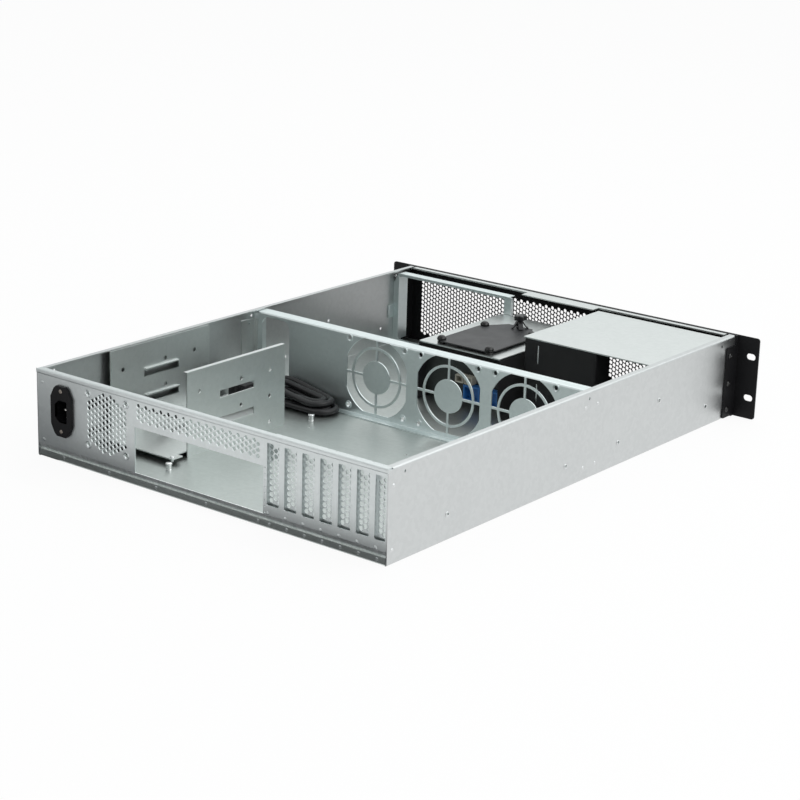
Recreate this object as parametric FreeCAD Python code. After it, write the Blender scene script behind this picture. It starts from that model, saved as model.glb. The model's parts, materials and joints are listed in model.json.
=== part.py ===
import FreeCAD, Part
import math
import os

# Open 2U rack case without its lid: a galvanised sheet body with a black front.
# Millimetres. +X is to the right seen from the front, +Y points out of the rear wall, +Z is up.
# Pieces are drawn with Y = 0 on the rear wall's outer face and then moved along Y,
# so that the origin lies under the middle of the case.

os.makedirs("parts", exist_ok=True)
V = FreeCAD.Vector

# Case envelope
RACK_W = 482.6
EAR_REACH = 26.3
CASE_H = 87.5
CASE_D = 581.0
SHEET = 1.2
BEND_R = 0.8
FIT = 0.1
HEM_W = 7.0

# Rear wall
REAR_BAND_H = 4.0
REAR_BAND_STEP = 0.5
REAR_TOP_LIP = 6.0
REAR_JOGGLE_Z = 8.5
REAR_FOLD_H = 7.5
REAR_FOLD_D = 20.0
REAR_TAB_D = 13.0
REAR_TABS = ((9.0, 19.0, 1.3), (66.0, 77.0, 0.6))
REAR_RIVET_Z = (13.2, 71.4)
REAR_RIVET_Y = 7.0
PILOT_X = -76.9
PILOT_R = 0.7
PILOT_Z0 = 14.5
PILOT_PITCH = 6.0
PILOT_COUNT = 8

# Board opening and expansion slots, at the standard board positions
IO_W = 158.75
IO_H = 44.45
IO_X = 4.63
IO_Z = 13.0
SLOT_PITCH = 20.32
SLOT_COUNT = 7
SLOT_W = 14.0
SLOT_Z0 = 21.8
SLOT_Z1 = 79.8
SLOT_EDGE_X = -79.0
COVER_T = 0.8
COVER_OVER = 1.1
COVER_RECESS = 2.6
COVER_FOOT = 6.0
LEDGE_Z = 81.0
LEDGE_D = 16.0
LEDGE_CHEEK_H = 22.0

# Hexagonal perforation of the rear wall and slot covers
HEX_PITCH = 5.5
HEX_SIZE = 4.2
VENT_X = 120.5
VENT_Z = 51.5
VENT_W = 48.0
VENT_H = 56.0
REAR_FAN_PITCH = 50.0
REAR_FAN_HOLE = 4.4
STRIP_X = 5.5
STRIP_Z = 73.1
STRIP_W = 150.0
STRIP_H = 17.0

# Mains inlet
INLET_X = 179.5
INLET_Z = 51.7
INLET_FLANGE_W = 27.5
INLET_FLANGE_H = 50.0
INLET_END_W = 12.0
INLET_SHOULDER_H = 27.0
INLET_FLANGE_T = 3.0
INLET_BODY_W = 20.0
INLET_BODY_H = 26.5
INLET_BODY_D = 22.0
INLET_WALL = 2.0
INLET_POCKET_D = 17.0
INLET_SCREW_PITCH = 40.0
PIN_W = 4.0
PIN_T = 2.0
PIN_L = 13.0
PIN_SPREAD = 7.0
PIN_RISE = 4.0
PIN_ROOT = 3.0

# Partition with the three fan guards
FANWALL_Y = -306.5
FANWALL_LIP = 14.0
FANWALL_FOOT = 9.0
FANWALL_END = 18.0
FAN_FIRST_X = 46.0
FAN_PITCH = 92.0
FAN_COUNT = 3
FAN_Z = 45.6
FAN_HOLE_PITCH = 71.5
FAN_HOLE = 4.5
GUARD_R = 42.4
GUARD_HALF = 39.0
GUARD_RING_R = 32.0
GUARD_RING_W = 2.6
GUARD_SPOKE_W = 2.4
GUARD_DISC_R = 17.4
PASS_X = 183.0
PASS_W = 38.0
PASS_Z0 = 12.0
PASS_Z1 = 81.7
PASS_R = 9.0
GUIDE_REAR_LEG = 20.0
GUIDE_FACE = 6.0
GUIDE_RIVET_REAR = 9.2
GUIDE_RIVET_FRONT = 11.2
GUIDE_RIVET_LOW_Z = 12.8
GUIDE_RIVET_HIGH_Z = 72.4

# Rear drive bay: two punched plates and a raised base
BAY_Y0 = -88.5
BAY_LEN = 141.0
BAY_TOP = 86.4
BAY_WALL_GAP = 7.8
DRIVE_W = 101.6
BAY_CLEAR = 0.5
BAY_LIP = 5.0
DRIVE_ROW_Z = 10.0
DRIVE_ROW_PITCH = 27.3
DRIVE_ROWS = 3
DRIVE_HOLE = 4.4
DRIVE_HOLE_FIRST = 16.8
DRIVE_HOLE_MID = 76.3
BAY_SLOT_START = 46.0
BAY_SLOT_LEN = 49.5
BAY_SLOT_H = 7.5
BAY_SLOT_Z0 = 23.7
BAY_TAB_D = 3.0
BASE_Z = 6.8
BASE_Y0 = -60.9
BASE_EAR_X = 95.4
BASE_EAR_LEN = 14.0
BASE_LEG_IN = 30.0
STUD_R = 2.6
STUD_HEAD_R = 3.4
STUD_HEAD_H = 1.6
STUD_X = 90.0
STUD_REAR_Y = -50.7
STUD_FRONT_Y = -257.5
STUD_H = 7.4

# Board fixing holes in the floor
BOARD_X0 = 77.7
BOARD_Y0 = -13.3
BOARD_MID_DX = 124.46
BOARD_FULL_DX = 281.94
BOARD_MID_DY = 154.94
BOARD_FULL_DY = 227.33
BOARD_HOLE = 3.2

# Side wall fixings
LID_HOLE = 2.8
LID_HOLE_Z = 80.6
LID_HOLE_REAR = 21.7
LID_HOLE_MIDDLE = 302.5
LID_HOLE_FRONT = 32.4
RAIL_NUT_R = 2.7
RAIL_NUT_SHANK = 2.1
RAIL_NUT_BORE = 1.6
RAIL_NUT_PROUD = 0.5
RAIL_NUTS_REAR = ((-84.0, 24.6), (-267.4, 22.0), (-357.8, 23.5))
RAIL_NUTS_FRONT = ((151.0, 50.0), (58.0, 22.5))
RIVET_R = 2.0
RIVET_SHANK = 1.2
RIVET_PROUD = 0.6

# Front bay frame of folded sheet
FRAME_INSET = 36.0
FRAME_X0 = 48.9
FRAME_TOP = 85.0
FRAME_POST_W = 9.4
FRAME_OUTER_POST_W = 7.5
FRAME_TOP_LIP = 11.0
FRAME_SIDE_LIP = 16.0
FRAME_BAR_H = 3.0
FRAME_SILL_H = 6.0
FRAME_CUT_W = 7.0
FRAME_CUT_H = 12.0
FRAME_TAB_D = 10.0
FRAME_TAB_Z0 = 33.0
FRAME_TAB_H = 15.0

# Front drive cage with its zinc deck
CAGE_X0 = -44.7
CAGE_X1 = 59.8
CAGE_LEN = 149.0
CAGE_INSET = 37.0
CAGE_TOP = 65.0
CAGE_FOOT = 10.0
CAGE_LIP = 8.0
PLANE_BOARD_H = 46.0
PLANE_BOARD_Z = 8.0
PLANE_BOARD_T = 1.6
SOCKET_D = 9.0
DATA_SOCKET_W = 21.0
DATA_SOCKET_H = 17.0
DATA_SOCKET_Z = 10.5
POWER_SOCKET_W = 10.0
POWER_SOCKET_H = 8.0
POWER_SOCKET_Z = 28.5
POWER_SOCKET_X = (-3.0, 8.5)

# Small drive plate on the deck
SMALL_X = 6.0
SMALL_INSET = 47.0
SMALL_W = 71.0
SMALL_REAR_INSET = 3.8
SMALL_LEN = 104.7
SMALL_CORNER = 7.0
SMALL_TAPER_W = 20.0
SMALL_TAPER_L = 28.0
SMALL_LIFT = 2.4
SMALL_PITCH_X = 61.72
SMALL_PITCH_Y = 76.6
GROMMET_R = 4.2
GROMMET_NECK_R = 3.0
GROMMET_H = 6.0
KNOB_INSET = 101.0
KNOB_X = 2.0
KNOB_H = 15.0
KNOB_HEAD_R = 6.6
KNOB_HEAD_H = 4.0
KNOB_LOBES = 6
KNOB_FOOT_R = 9.5
KNOB_SHAFT_R = 2.6

# Bay cover and the black bracket under it
COVER_CLEAR = 0.4
COVER_X1 = -54.5
COVER_LEN = 140.0
COVER_FRONT_GAP = 19.0
COVER_LIP = 6.0
BRACKET_X0 = -143.5
BRACKET_X1 = -55.8
BRACKET_D = 25.0
BRACKET_FOOT = 12.0
BRACKET_SLOT_X = -72.3
BRACKET_SLOT_W = 3.0
BRACKET_SLOT_L = 20.0
BRACKET_SLOT_Z = (18.5, 59.7)

# Front rail behind the front panel's top edge
RAIL_D = 5.5
RAIL_WIDE_D = 17.0
RAIL_WIDE_X0 = -50.0
RAIL_WIDE_X1 = 44.0
RAIL_DROP = 3.0
RAIL_GAP = 3.0

# Front panel and its perforated field
PANEL_LIP = 6.0
PANEL_SIDE_LIP = 20.0
PANEL_SIDE_DROP = 9.0
PANEL_MESH_X0 = -118.0
PANEL_MESH_X1 = 200.0
PANEL_MESH_Z0 = 8.0
PANEL_MESH_Z1 = 76.0
PANEL_HEX_PITCH = 13.4
PANEL_HEX_SIZE = 11.4

# Controls at the left end of the front, seen from the front
CONTROL_X = -160.0
BUTTON_X = -145.0
POWER_Z = 62.0
RESET_Z = 44.0
POWER_R = 5.5
RESET_R = 3.0
BUTTON_PROUD = 1.6
BUTTON_GAP = 0.35
BUTTON_COLLAR = 1.4
BUTTON_COLLAR_T = 1.5
BUTTON_STEM_R = 1.6
BUTTON_LEN = 7.0
SWITCH_SIZE = 7.0
SWITCH_D = 5.0
BUTTON_TRAVEL = 1.2
LED_R = 1.5
LED_X = -172.0
USB_W = 13.2
USB_H = 5.8
USB_WALL = 0.5
USB_D = 14.0
USB_X = -158.5
USB_Z = (16.0, 28.0)
CONTROL_BOARD_T = 1.6
CONTROL_BOARD_W = 46.0
CONTROL_BOARD_Z0 = 9.0
CONTROL_BOARD_DROP = 9.5
CONTROL_POST_R = 2.5

# Rack ears
EAR_T = 1.5
EAR_FLANGE = 23.5
EAR_FLANGE_Z0 = 1.0
EAR_FLANGE_Z1 = 77.5
EAR_CORNER_R = 3.0
EAR_SLOT_EDGE = 8.75
EAR_SLOT_PITCH_Z = 44.45
EAR_SLOT_Z = 22.25
EAR_SLOT_L = 10.5
EAR_SLOT_H = 6.8
EAR_SCREW_INSET = 17.0
EAR_SCREW_Z = (10.0, 38.0, 68.0)
SCREW_HEAD_R = 3.0
SCREW_HEAD_H = 1.8
SCREW_SHANK_R = 1.5

# Internal mains lead
LEAD_R = 3.4
BOOT_L = 22.0
BOOT_R = 6.5
LEAD_POINTS = (
    (179.5, -44.0, 51.7), (179.3, -66.0, 50.2), (177.5, -92.0, 40.5), (173.5, -118.0, 26.5),
    (167.5, -146.0, 15.0), (161.5, -178.0, 11.9), (158.5, -212.0, 12.4), (160.5, -243.0, 15.2),
    (163.0, -273.0, 17.5))
HANK_X0 = 82.0
HANK_X1 = 172.0
HANK_Y0 = -271.0
HANK_Y1 = -304.0
HANK_TOP = ((172.0, 19.0), (163.0, 26.0), (150.0, 27.0), (125.0, 15.0), (92.0, 13.5), (82.0, 9.0))
PLUG_L = 34.0
PLUG_W = 17.0
PLUG_H = 17.0
PLUG_Y = -266.0

# The origin is under the middle of the case, from the knob of the front buttons
# to the flange of the mains inlet at the rear.
FRONT_Y = -CASE_D
REAR_REACH = INLET_FLANGE_T
FRONT_REACH = CASE_D + BUTTON_PROUD
Y_SHIFT = (FRONT_REACH - REAR_REACH) / 2
CASE_W = RACK_W - 2 * EAR_REACH
HALF_W = CASE_W / 2
INNER_X = HALF_W - SHEET
BAY_OUTER_X = INNER_X - BAY_WALL_GAP
BAY_INNER_X = BAY_OUTER_X - DRIVE_W - 2 * BAY_CLEAR
BAY_Y1 = BAY_Y0 - BAY_LEN
PANEL_BACK = FRONT_Y + SHEET
TRAY_FRONT = FRONT_Y + PANEL_LIP + FIT
FRAME_Y = FRONT_Y + FRAME_INSET
CAGE_Y1 = FRONT_Y + CAGE_INSET
CAGE_Y0 = CAGE_Y1 + CAGE_LEN
SMALL_Y = CAGE_Y0 - SMALL_INSET
SMALL_Y0 = CAGE_Y0 - SMALL_REAR_INSET
SMALL_Y1 = SMALL_Y0 - SMALL_LEN
KNOB_Y = CAGE_Y0 - KNOB_INSET
COVER_X0 = COVER_CLEAR - INNER_X
COVER_Y1 = FRONT_Y + COVER_FRONT_GAP
COVER_Y0 = COVER_Y1 + COVER_LEN
EAR_SCREW_Y = FRONT_Y + EAR_SCREW_INSET
LID_HOLE_Y = (-LID_HOLE_REAR, -LID_HOLE_MIDDLE, FRONT_Y + LID_HOLE_FRONT)
RAIL_NUTS = RAIL_NUTS_REAR + tuple((FRONT_Y + y, z) for y, z in RAIL_NUTS_FRONT)
EAR_SLOT_X = RACK_W / 2 - EAR_SLOT_EDGE
CONTROL_BOARD_H = CASE_H - CONTROL_BOARD_Z0 - CONTROL_BOARD_DROP


def export(name, shape):
    shape = shape.copy()
    shape.translate(V(0, Y_SHIFT, 0))
    solids = len(shape.Solids)
    shape.exportStep("parts/" + name + ".step")
    print(name, "solids", solids, "volume", round(shape.Volume / 1000, 2), "cm3")


def joined(shapes):
    first = shapes[0]
    if len(shapes) == 1:
        return first
    return first.multiFuse(shapes[1:]).removeSplitter()


def block(x, y, z):
    size = (x[1] - x[0], y[1] - y[0], z[1] - z[0])
    return Part.makeBox(size[0], size[1], size[2], V(x[0], y[0], z[0]))


def rod(radius, start, along, length):
    return Part.makeCylinder(radius, length, V(*start), V(*along))


def point(plane, u, v, w):
    if plane == "xy":
        return V(u, v, w)
    if plane == "xz":
        return V(u, w, v)
    return V(w, u, v)


def direction(plane):
    return {"xy": V(0, 0, 1), "xz": V(0, 1, 0), "yz": V(1, 0, 0)}[plane]


# A closed outline whose corners (u, v, radius) are rounded by arcs.
def loop(plane, corners, w):
    count = len(corners)
    runs = []
    arcs = []
    for i in range(count):
        u, v, radius = corners[i]
        before = corners[i - 1]
        after = corners[(i + 1) % count]
        here = V(u, v, 0)
        a = (V(before[0], before[1], 0) - here).normalize()
        b = (V(after[0], after[1], 0) - here).normalize()
        if radius <= 0:
            runs.append((here, here))
            arcs.append(None)
            continue
        half = a.getAngle(b) / 2
        reach = radius / math.tan(half)
        middle = (a + b).normalize()
        centre = here + middle * (radius / math.sin(half))
        runs.append((here + a * reach, here + b * reach))
        arcs.append(centre - middle * radius)
    edges = []
    for i in range(count):
        start, end = runs[i]
        following = runs[(i + 1) % count][0]
        if arcs[i] is not None:
            three = [point(plane, p.x, p.y, w) for p in (start, arcs[i], end)]
            edges.append(Part.Arc(*three).toShape())
        if (following - end).Length > 1e-6:
            line_end = point(plane, following.x, following.y, w)
            edges.append(Part.makeLine(point(plane, end.x, end.y, w), line_end))
    return Part.Wire(edges)


def ring(plane, u, v, radius, w):
    return Part.Wire([Part.makeCircle(radius, point(plane, u, v, w), direction(plane))])


def rectangle(u, v, width, height, radius=0.0):
    x0, x1 = u - width / 2, u + width / 2
    y0, y1 = v - height / 2, v + height / 2
    return [(x0, y0, radius), (x1, y0, radius), (x1, y1, radius), (x0, y1, radius)]


def hexagon(u, v, size):
    radius = size / math.sqrt(3)
    turns = [math.pi * k / 3 for k in range(6)]
    return [(u + radius * math.cos(turn), v + radius * math.sin(turn), 0) for turn in turns]


# A flat sheet from w0 to w1 with an outline and inner outlines.
def sheet(plane, outer, cuts, w0, w1):
    wires = [outer(w0) if callable(outer) else loop(plane, outer, w0)]
    for cut in cuts:
        wires.append(cut(w0) if callable(cut) else loop(plane, cut, w0))
    face = Part.makeFace(wires, "Part::FaceMakerBullseye")
    return face.extrude(direction(plane) * (w1 - w0))


def round_cut(plane, u, v, diameter):
    return lambda w: ring(plane, u, v, diameter / 2, w)


# A folded strip: the path is its outer side and the sheet lies on the path's left.
def folded(plane, path, thickness, radius, w0, w1):
    steps = [V(b[0] - a[0], b[1] - a[1], 0).normalize() for a, b in zip(path, path[1:])]
    sides = [V(-s.y, s.x, 0) for s in steps]
    near = []
    far = []
    for i, spot in enumerate(path):
        here = V(spot[0], spot[1], 0)
        if i == 0 or i == len(path) - 1:
            side = sides[0] if i == 0 else sides[-1]
            near.append((here.x, here.y, 0))
            other = here + side * thickness
            far.append((other.x, other.y, 0))
            continue
        total = sides[i - 1] + sides[i]
        other = here + total * (thickness / (1 + sides[i - 1].dot(sides[i])))
        turns_left = steps[i - 1].cross(steps[i]).z > 0
        near.append((here.x, here.y, radius + thickness if turns_left else radius))
        far.append((other.x, other.y, radius if turns_left else radius + thickness))
    return sheet(plane, near + far[::-1], [], w0, w1)


# Points of a hexagonal grid of upright columns inside a rectangle.
def hex_grid(u, v, width, height, pitch):
    column_step = pitch * math.sqrt(3) / 2
    columns = int(width / column_step) + 1
    spots = []
    for i in range(columns):
        x = u + (i - (columns - 1) / 2) * column_step
        offset = pitch / 2 if i % 2 else 0.0
        rows = int((height - offset * 2) / pitch) + 1
        for j in range(rows):
            spots.append((x, v + (j - (rows - 1) / 2) * pitch))
    return spots


def both_sides(shape):
    return [shape, shape.mirror(V(0, 0, 0), V(1, 0, 0))]


def pan_screw(spot, along, head_r, head_h, shank_r, shank_l):
    head = rod(head_r, spot, along, head_h)
    top = V(*spot) + V(*along) * head_h
    rim = [e for e in head.Edges if e.Closed and (e.CenterOfMass - top).Length < 0.01]
    head = head.makeFillet(head_h * 0.45, rim)
    back = tuple(-a for a in along)
    screw = head.fuse(rod(shank_r, spot, back, shank_l)).removeSplitter()
    recess = rod(head_r * 0.28, tuple(s + a * head_h * 0.45 for s, a in zip(spot, along)), along, head_h)
    return screw.cut(recess)


def rivet(spot, along, length):
    head = rod(RIVET_R, spot, along, RIVET_PROUD)
    back = tuple(-a for a in along)
    return head.fuse(rod(RIVET_SHANK, spot, back, length)).removeSplitter()


# Holes through both side walls for rivets, nuts, ear screws and the lid.
def side_drills():
    spots = []
    spots += [(y, LID_HOLE_Z, LID_HOLE / 2) for y in LID_HOLE_Y]
    spots += [(y, z, RAIL_NUT_SHANK + FIT) for y, z in RAIL_NUTS]
    spots += [(y, z, RIVET_SHANK + FIT) for y, z in wall_rivet_spots()]
    spots += [(EAR_SCREW_Y, z, SCREW_SHANK_R + FIT) for z in EAR_SCREW_Z]
    drills = []
    for y, z, radius in spots:
        drills.append(rod(radius, (-HALF_W - 1, y, z), (1, 0, 0), CASE_W + 2))
    return drills


def wall_rivet_spots():
    rear = [(-REAR_RIVET_Y, z) for z in REAR_RIVET_Z]
    guide_y = (FANWALL_Y + GUIDE_RIVET_REAR, FANWALL_Y - GUIDE_RIVET_FRONT)
    guides = [(y, z) for y in guide_y for z in (GUIDE_RIVET_LOW_Z, GUIDE_RIVET_HIGH_Z)]
    return rear + guides


def board_spots():
    rows = (BOARD_Y0, BOARD_Y0 - BOARD_MID_DY, BOARD_Y0 - BOARD_FULL_DY)
    columns = (BOARD_X0, BOARD_X0 - BOARD_MID_DX, BOARD_X0 - BOARD_FULL_DX)
    return [(x, y) for x in columns for y in rows]


# Floor and both side walls folded from one sheet, with a low fold across the rear.
def folded_tray():
    path = [(HALF_W - HEM_W, CASE_H), (HALF_W, CASE_H), (HALF_W, 0), (-HALF_W, 0),
            (-HALF_W, CASE_H), (HEM_W - HALF_W, CASE_H)]
    path = path[::-1]
    tray = folded("xz", path, SHEET, BEND_R, TRAY_FRONT, 0.0)
    corner = HALF_W - SHEET - BEND_R
    trim = [block((-corner, corner), (-REAR_FOLD_D, 1.0), (-1.0, SHEET))]
    trim.append(block((-HALF_W - 1, HALF_W + 1), (-REAR_TOP_LIP, 1.0), (CASE_H - SHEET, CASE_H + 1)))
    fold = folded("yz", [(-REAR_FOLD_D, 0), (0, 0), (0, REAR_FOLD_H)], SHEET, BEND_R, -corner, corner)
    floor_holes = [rod(BOARD_HOLE / 2, (x, y, -1), (0, 0, 1), SHEET + 2) for x, y in board_spots()]
    for y in (STUD_REAR_Y, STUD_FRONT_Y):
        floor_holes.append(rod(STUD_R - 1 + FIT, (STUD_X, y, -1), (0, 0, 1), SHEET + 2))
    tray = tray.cut(trim).fuse(fold).removeSplitter()
    return tray.cut(side_drills() + floor_holes)


# The folded tray is kept as its floor and its two side walls, which meet where each fold begins.
def tray_parts():
    tray = folded_tray()
    flat = HALF_W - SHEET - BEND_R
    floor_space = block((-flat, flat), (TRAY_FRONT - 1, 1), (-1, REAR_FOLD_H + 1))
    floor = tray.common(floor_space)
    walls = sorted(tray.cut(floor_space).Solids, key=lambda wall: wall.CenterOfMass.x)
    return {"floor_pan": floor, "side_wall_left": walls[0], "side_wall_right": walls[1]}


# Rear wall: set in behind the tray's fold, with a proud top band, a top lip and side tabs.
def rear_wall():
    band = CASE_H - REAR_BAND_H
    behind = -SHEET - FIT
    path = [(behind, SHEET + BEND_R + FIT), (behind, REAR_JOGGLE_Z), (0, IO_Z), (0, band - REAR_BAND_STEP),
            (REAR_BAND_STEP, band), (REAR_BAND_STEP, CASE_H), (-REAR_TOP_LIP + FIT, CASE_H)]
    inner = INNER_X - FIT
    wall = folded("yz", path, SHEET, BEND_R * 0.4, -inner, inner)
    band_end = block((inner, HALF_W), (0.0, REAR_BAND_STEP), (band, CASE_H))
    tabs = []
    for z0, z1, inset in REAR_TABS:
        tabs += both_sides(block((inner - SHEET, inner), (-REAR_TAB_D, -inset), (z0, z1)))
    wall = joined([wall] + tabs + both_sides(band_end))
    return wall.cut(rear_cutters())


# The folded rear wall is kept as five nodes that meet edge to edge: the joggled foot below the
# board opening, the band over it, the slot end, the vent field and the inlet end.
def rear_parts():
    wall = rear_wall()
    between_tabs = INNER_X - FIT - SHEET
    depth = (-REAR_FOLD_D, 1.0)
    low = block((-HALF_W, HALF_W), depth, (0.0, REAR_TABS[0][0]))
    middle = block((-between_tabs, between_tabs), depth, (0.0, IO_Z))
    foot_space = low.fuse(middle)
    standing = wall.cut(foot_space)
    edges = (-HALF_W, IO_X - IO_W / 2, IO_X + IO_W / 2, INLET_X - INLET_BODY_W / 2 - FIT, HALF_W)
    names = ("rear_slot_end", "rear_band", "rear_vent_field", "rear_inlet_end")
    parts = {name: standing.common(block((x0, x1), depth, (0.0, CASE_H)))
             for name, x0, x1 in zip(names, edges, edges[1:])}
    parts["rear_foot"] = wall.common(foot_space)
    return parts


def rear_cutters():
    depth0, depth1 = -SHEET - 1, 1.0
    cuts = []
    cuts.append(sheet("xz", rectangle(IO_X, IO_Z + IO_H / 2, IO_W, IO_H), [], depth0, depth1))
    for x0, x1 in slot_spans():
        slot = rectangle((x0 + x1) / 2, (SLOT_Z0 + SLOT_Z1) / 2, x1 - x0, SLOT_Z1 - SLOT_Z0, 0.8)
        cuts.append(sheet("xz", slot, [], depth0, depth1))
    cuts.append(sheet("xz", rectangle(INLET_X, INLET_Z, INLET_BODY_W + 2 * FIT, INLET_BODY_H + 2 * FIT, 2.0),
                      [], depth0, depth1))
    for side in (-1, 1):
        z = INLET_Z + side * INLET_SCREW_PITCH / 2
        cuts.append(rod(SCREW_SHANK_R + FIT, (INLET_X, depth0, z), (0, 1, 0), 3.0))
    for sx in (-1, 1):
        for sz in (-1, 1):
            spot = (VENT_X + sx * REAR_FAN_PITCH / 2, depth0, VENT_Z + sz * REAR_FAN_PITCH / 2)
            cuts.append(rod(REAR_FAN_HOLE / 2, spot, (0, 1, 0), 3.0))
    for x, z in vent_spots() + strip_spots():
        cuts.append(sheet("xz", hexagon(x, z, HEX_SIZE), [], depth0, depth1))
    for i in range(PILOT_COUNT):
        cuts.append(rod(PILOT_R, (PILOT_X, depth0, PILOT_Z0 + i * PILOT_PITCH), (0, 1, 0), 3.0))
    for y, z in wall_rivet_spots():
        cuts.append(rod(RIVET_SHANK + FIT, (-HALF_W, y, z), (1, 0, 0), CASE_W))
    return cuts


# Each slot's two edges; the last slot is cut short by the wall's end.
def slot_spans():
    wall_end = SHEET + FIT - INNER_X
    edges = [SLOT_EDGE_X - i * SLOT_PITCH for i in range(SLOT_COUNT)]
    return [(max(edge - SLOT_W, wall_end), edge) for edge in edges]


# Each cover's two edges: it overlaps its slot, and the last one stays clear of the wall's side tabs.
def cover_spans():
    wall_end = SHEET + FIT - INNER_X
    return [(max(x0 - COVER_OVER, wall_end + FIT), x1 + COVER_OVER) for x0, x1 in slot_spans()]


def cover_middles():
    return [(x0 + x1) / 2 for x0, x1 in cover_spans()]


def vent_spots():
    grid = hex_grid(VENT_X, VENT_Z, VENT_W, VENT_H, HEX_PITCH)
    limit = (VENT_H + HEX_PITCH) / 2
    return [(x, z) for x, z in grid if abs(x - VENT_X) / math.sqrt(3) + abs(z - VENT_Z) < limit]


# Every column of the strip has three holes, so the top row of the taller columns is left out.
def strip_spots():
    grid = hex_grid(STRIP_X, STRIP_Z, STRIP_W, STRIP_H, HEX_PITCH)
    return [(x, z) for x, z in grid if z < STRIP_Z + 1.25 * HEX_PITCH]


# A slot cover is a shallow channel whose tab folds over the ledge.
def slot_cover(slot, span):
    back = -SHEET - COVER_RECESS
    x0, x1 = span
    x = (x0 + x1) / 2
    low = SLOT_Z0 - COVER_FOOT
    holes = [hexagon(u, v, HEX_SIZE) for u, v in
             hex_grid((slot[0] + slot[1]) / 2, (SLOT_Z0 + SLOT_Z1) / 2, slot[1] - slot[0] - HEX_SIZE,
                      SLOT_Z1 - SLOT_Z0 - HEX_PITCH, HEX_PITCH)]
    web = sheet("xz", rectangle(x, (low + LEDGE_Z + SHEET) / 2, x1 - x0, LEDGE_Z + SHEET - low), holes,
                back - COVER_T, back)
    edges = ((x0, x0 + COVER_T), (x1 - COVER_T, x1))
    flanges = [block(edge, (back, -SHEET), (low, SLOT_Z1)) for edge in edges]
    tab = block((x0, x1), (-SHEET - LEDGE_D, back), (LEDGE_Z + SHEET, LEDGE_Z + SHEET + COVER_T))
    cover = joined([web] + flanges + [tab])
    return cover.cut(rod(SCREW_SHANK_R + FIT, (x, screw_row_y(), LEDGE_Z), (0, 0, 1), 5.0))


def screw_row_y():
    return -SHEET - LEDGE_D + 6.0


# The ledge carries the covers' tabs and hangs from the wall on two cheeks.
def slot_ledge():
    first = cover_spans()[0][1] + 3.0
    last = cover_spans()[-1][0] + FIT
    front = -SHEET - LEDGE_D - 2.0
    back = -SHEET - COVER_RECESS - COVER_T - FIT
    holes = [round_cut("xy", x, screw_row_y(), 2 * SCREW_SHANK_R + 2 * FIT) for x in cover_middles()]
    outer = [(last, front, 0), (first, front, 0), (first, back, 0), (last, back, 0)]
    shelf = sheet("xy", outer, holes, LEDGE_Z, LEDGE_Z + SHEET)
    cheek = block((first, first + SHEET), (front, -SHEET), (LEDGE_Z - LEDGE_CHEEK_H, LEDGE_Z + SHEET))
    far_cheek = block((last, last + SHEET), (front, -REAR_TAB_D - FIT),
                      (LEDGE_Z - LEDGE_CHEEK_H, LEDGE_Z + SHEET))
    hem_hook = block((last, last + SHEET), (front, back), (LEDGE_Z, LEDGE_Z + SHEET))
    stiffener = block((last, first), (front, front + SHEET), (LEDGE_Z - 5.0, LEDGE_Z + SHEET))
    return joined([shelf, cheek, far_cheek, hem_hook, stiffener])


def slot_screws():
    top = LEDGE_Z + SHEET + COVER_T
    row = [pan_screw((x, screw_row_y(), top), (0, 0, 1), SCREW_HEAD_R, SCREW_HEAD_H, SCREW_SHANK_R, 5.0)
           for x in cover_middles()]
    return Part.makeCompound(row)


def flange_outline():
    w, h = INLET_FLANGE_W / 2, INLET_FLANGE_H / 2
    e, s = INLET_END_W / 2, INLET_SHOULDER_H / 2
    shape = [(-e, h), (-w, s), (-w, -s), (-e, -h), (e, -h), (w, -s), (w, s), (e, h)]
    return [(INLET_X + u, INLET_Z + v, 2.5) for u, v in shape]


# Appliance inlet: a flange outside, a hollow body inside and a lead boot.
def power_inlet():
    flange = sheet("xz", flange_outline(), [], 0.0, INLET_FLANGE_T)
    body = sheet("xz", rectangle(INLET_X, INLET_Z, INLET_BODY_W, INLET_BODY_H, 2.0), [],
                 -INLET_BODY_D, 0.0)
    half_w = INLET_BODY_W / 2 - INLET_WALL
    half_h = INLET_BODY_H / 2 - INLET_WALL
    corner = half_w * 0.6
    shape = [(-half_w, -half_h), (half_w - corner, -half_h), (half_w, corner - half_h),
             (half_w, half_h - corner), (half_w - corner, half_h), (-half_w, half_h)]
    pocket = [(INLET_X + u, INLET_Z + v, 1.0) for u, v in shape]
    hollow = sheet("xz", pocket, [], INLET_FLANGE_T - INLET_POCKET_D, INLET_FLANGE_T + 1)
    boot = Part.makeCone(BOOT_R, LEAD_R + 0.8, BOOT_L, V(INLET_X, -INLET_BODY_D, INLET_Z), V(0, -1, 0))
    pin_roots = pin_blocks(INLET_FLANGE_T - INLET_POCKET_D - PIN_ROOT, INLET_FLANGE_T - INLET_POCKET_D)
    drills = [rod(SCREW_SHANK_R + FIT, (INLET_X, -1, INLET_Z + s * INLET_SCREW_PITCH / 2), (0, 1, 0), 9.0)
              for s in (-1, 1)]
    return joined([flange, body, boot]).cut([hollow] + pin_roots + drills)


def pin_blocks(y0, y1):
    spots = ((-PIN_RISE / 2, -PIN_SPREAD), (-PIN_RISE / 2, PIN_SPREAD), (PIN_RISE / 2, 0.0))
    return [block((INLET_X + u - PIN_W / 2, INLET_X + u + PIN_W / 2), (y0, y1),
                  (INLET_Z + v - PIN_T / 2, INLET_Z + v + PIN_T / 2)) for u, v in spots]


def inlet_pins():
    floor = INLET_FLANGE_T - INLET_POCKET_D
    return Part.makeCompound(pin_blocks(floor - PIN_ROOT, floor - PIN_ROOT + PIN_L))


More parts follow.
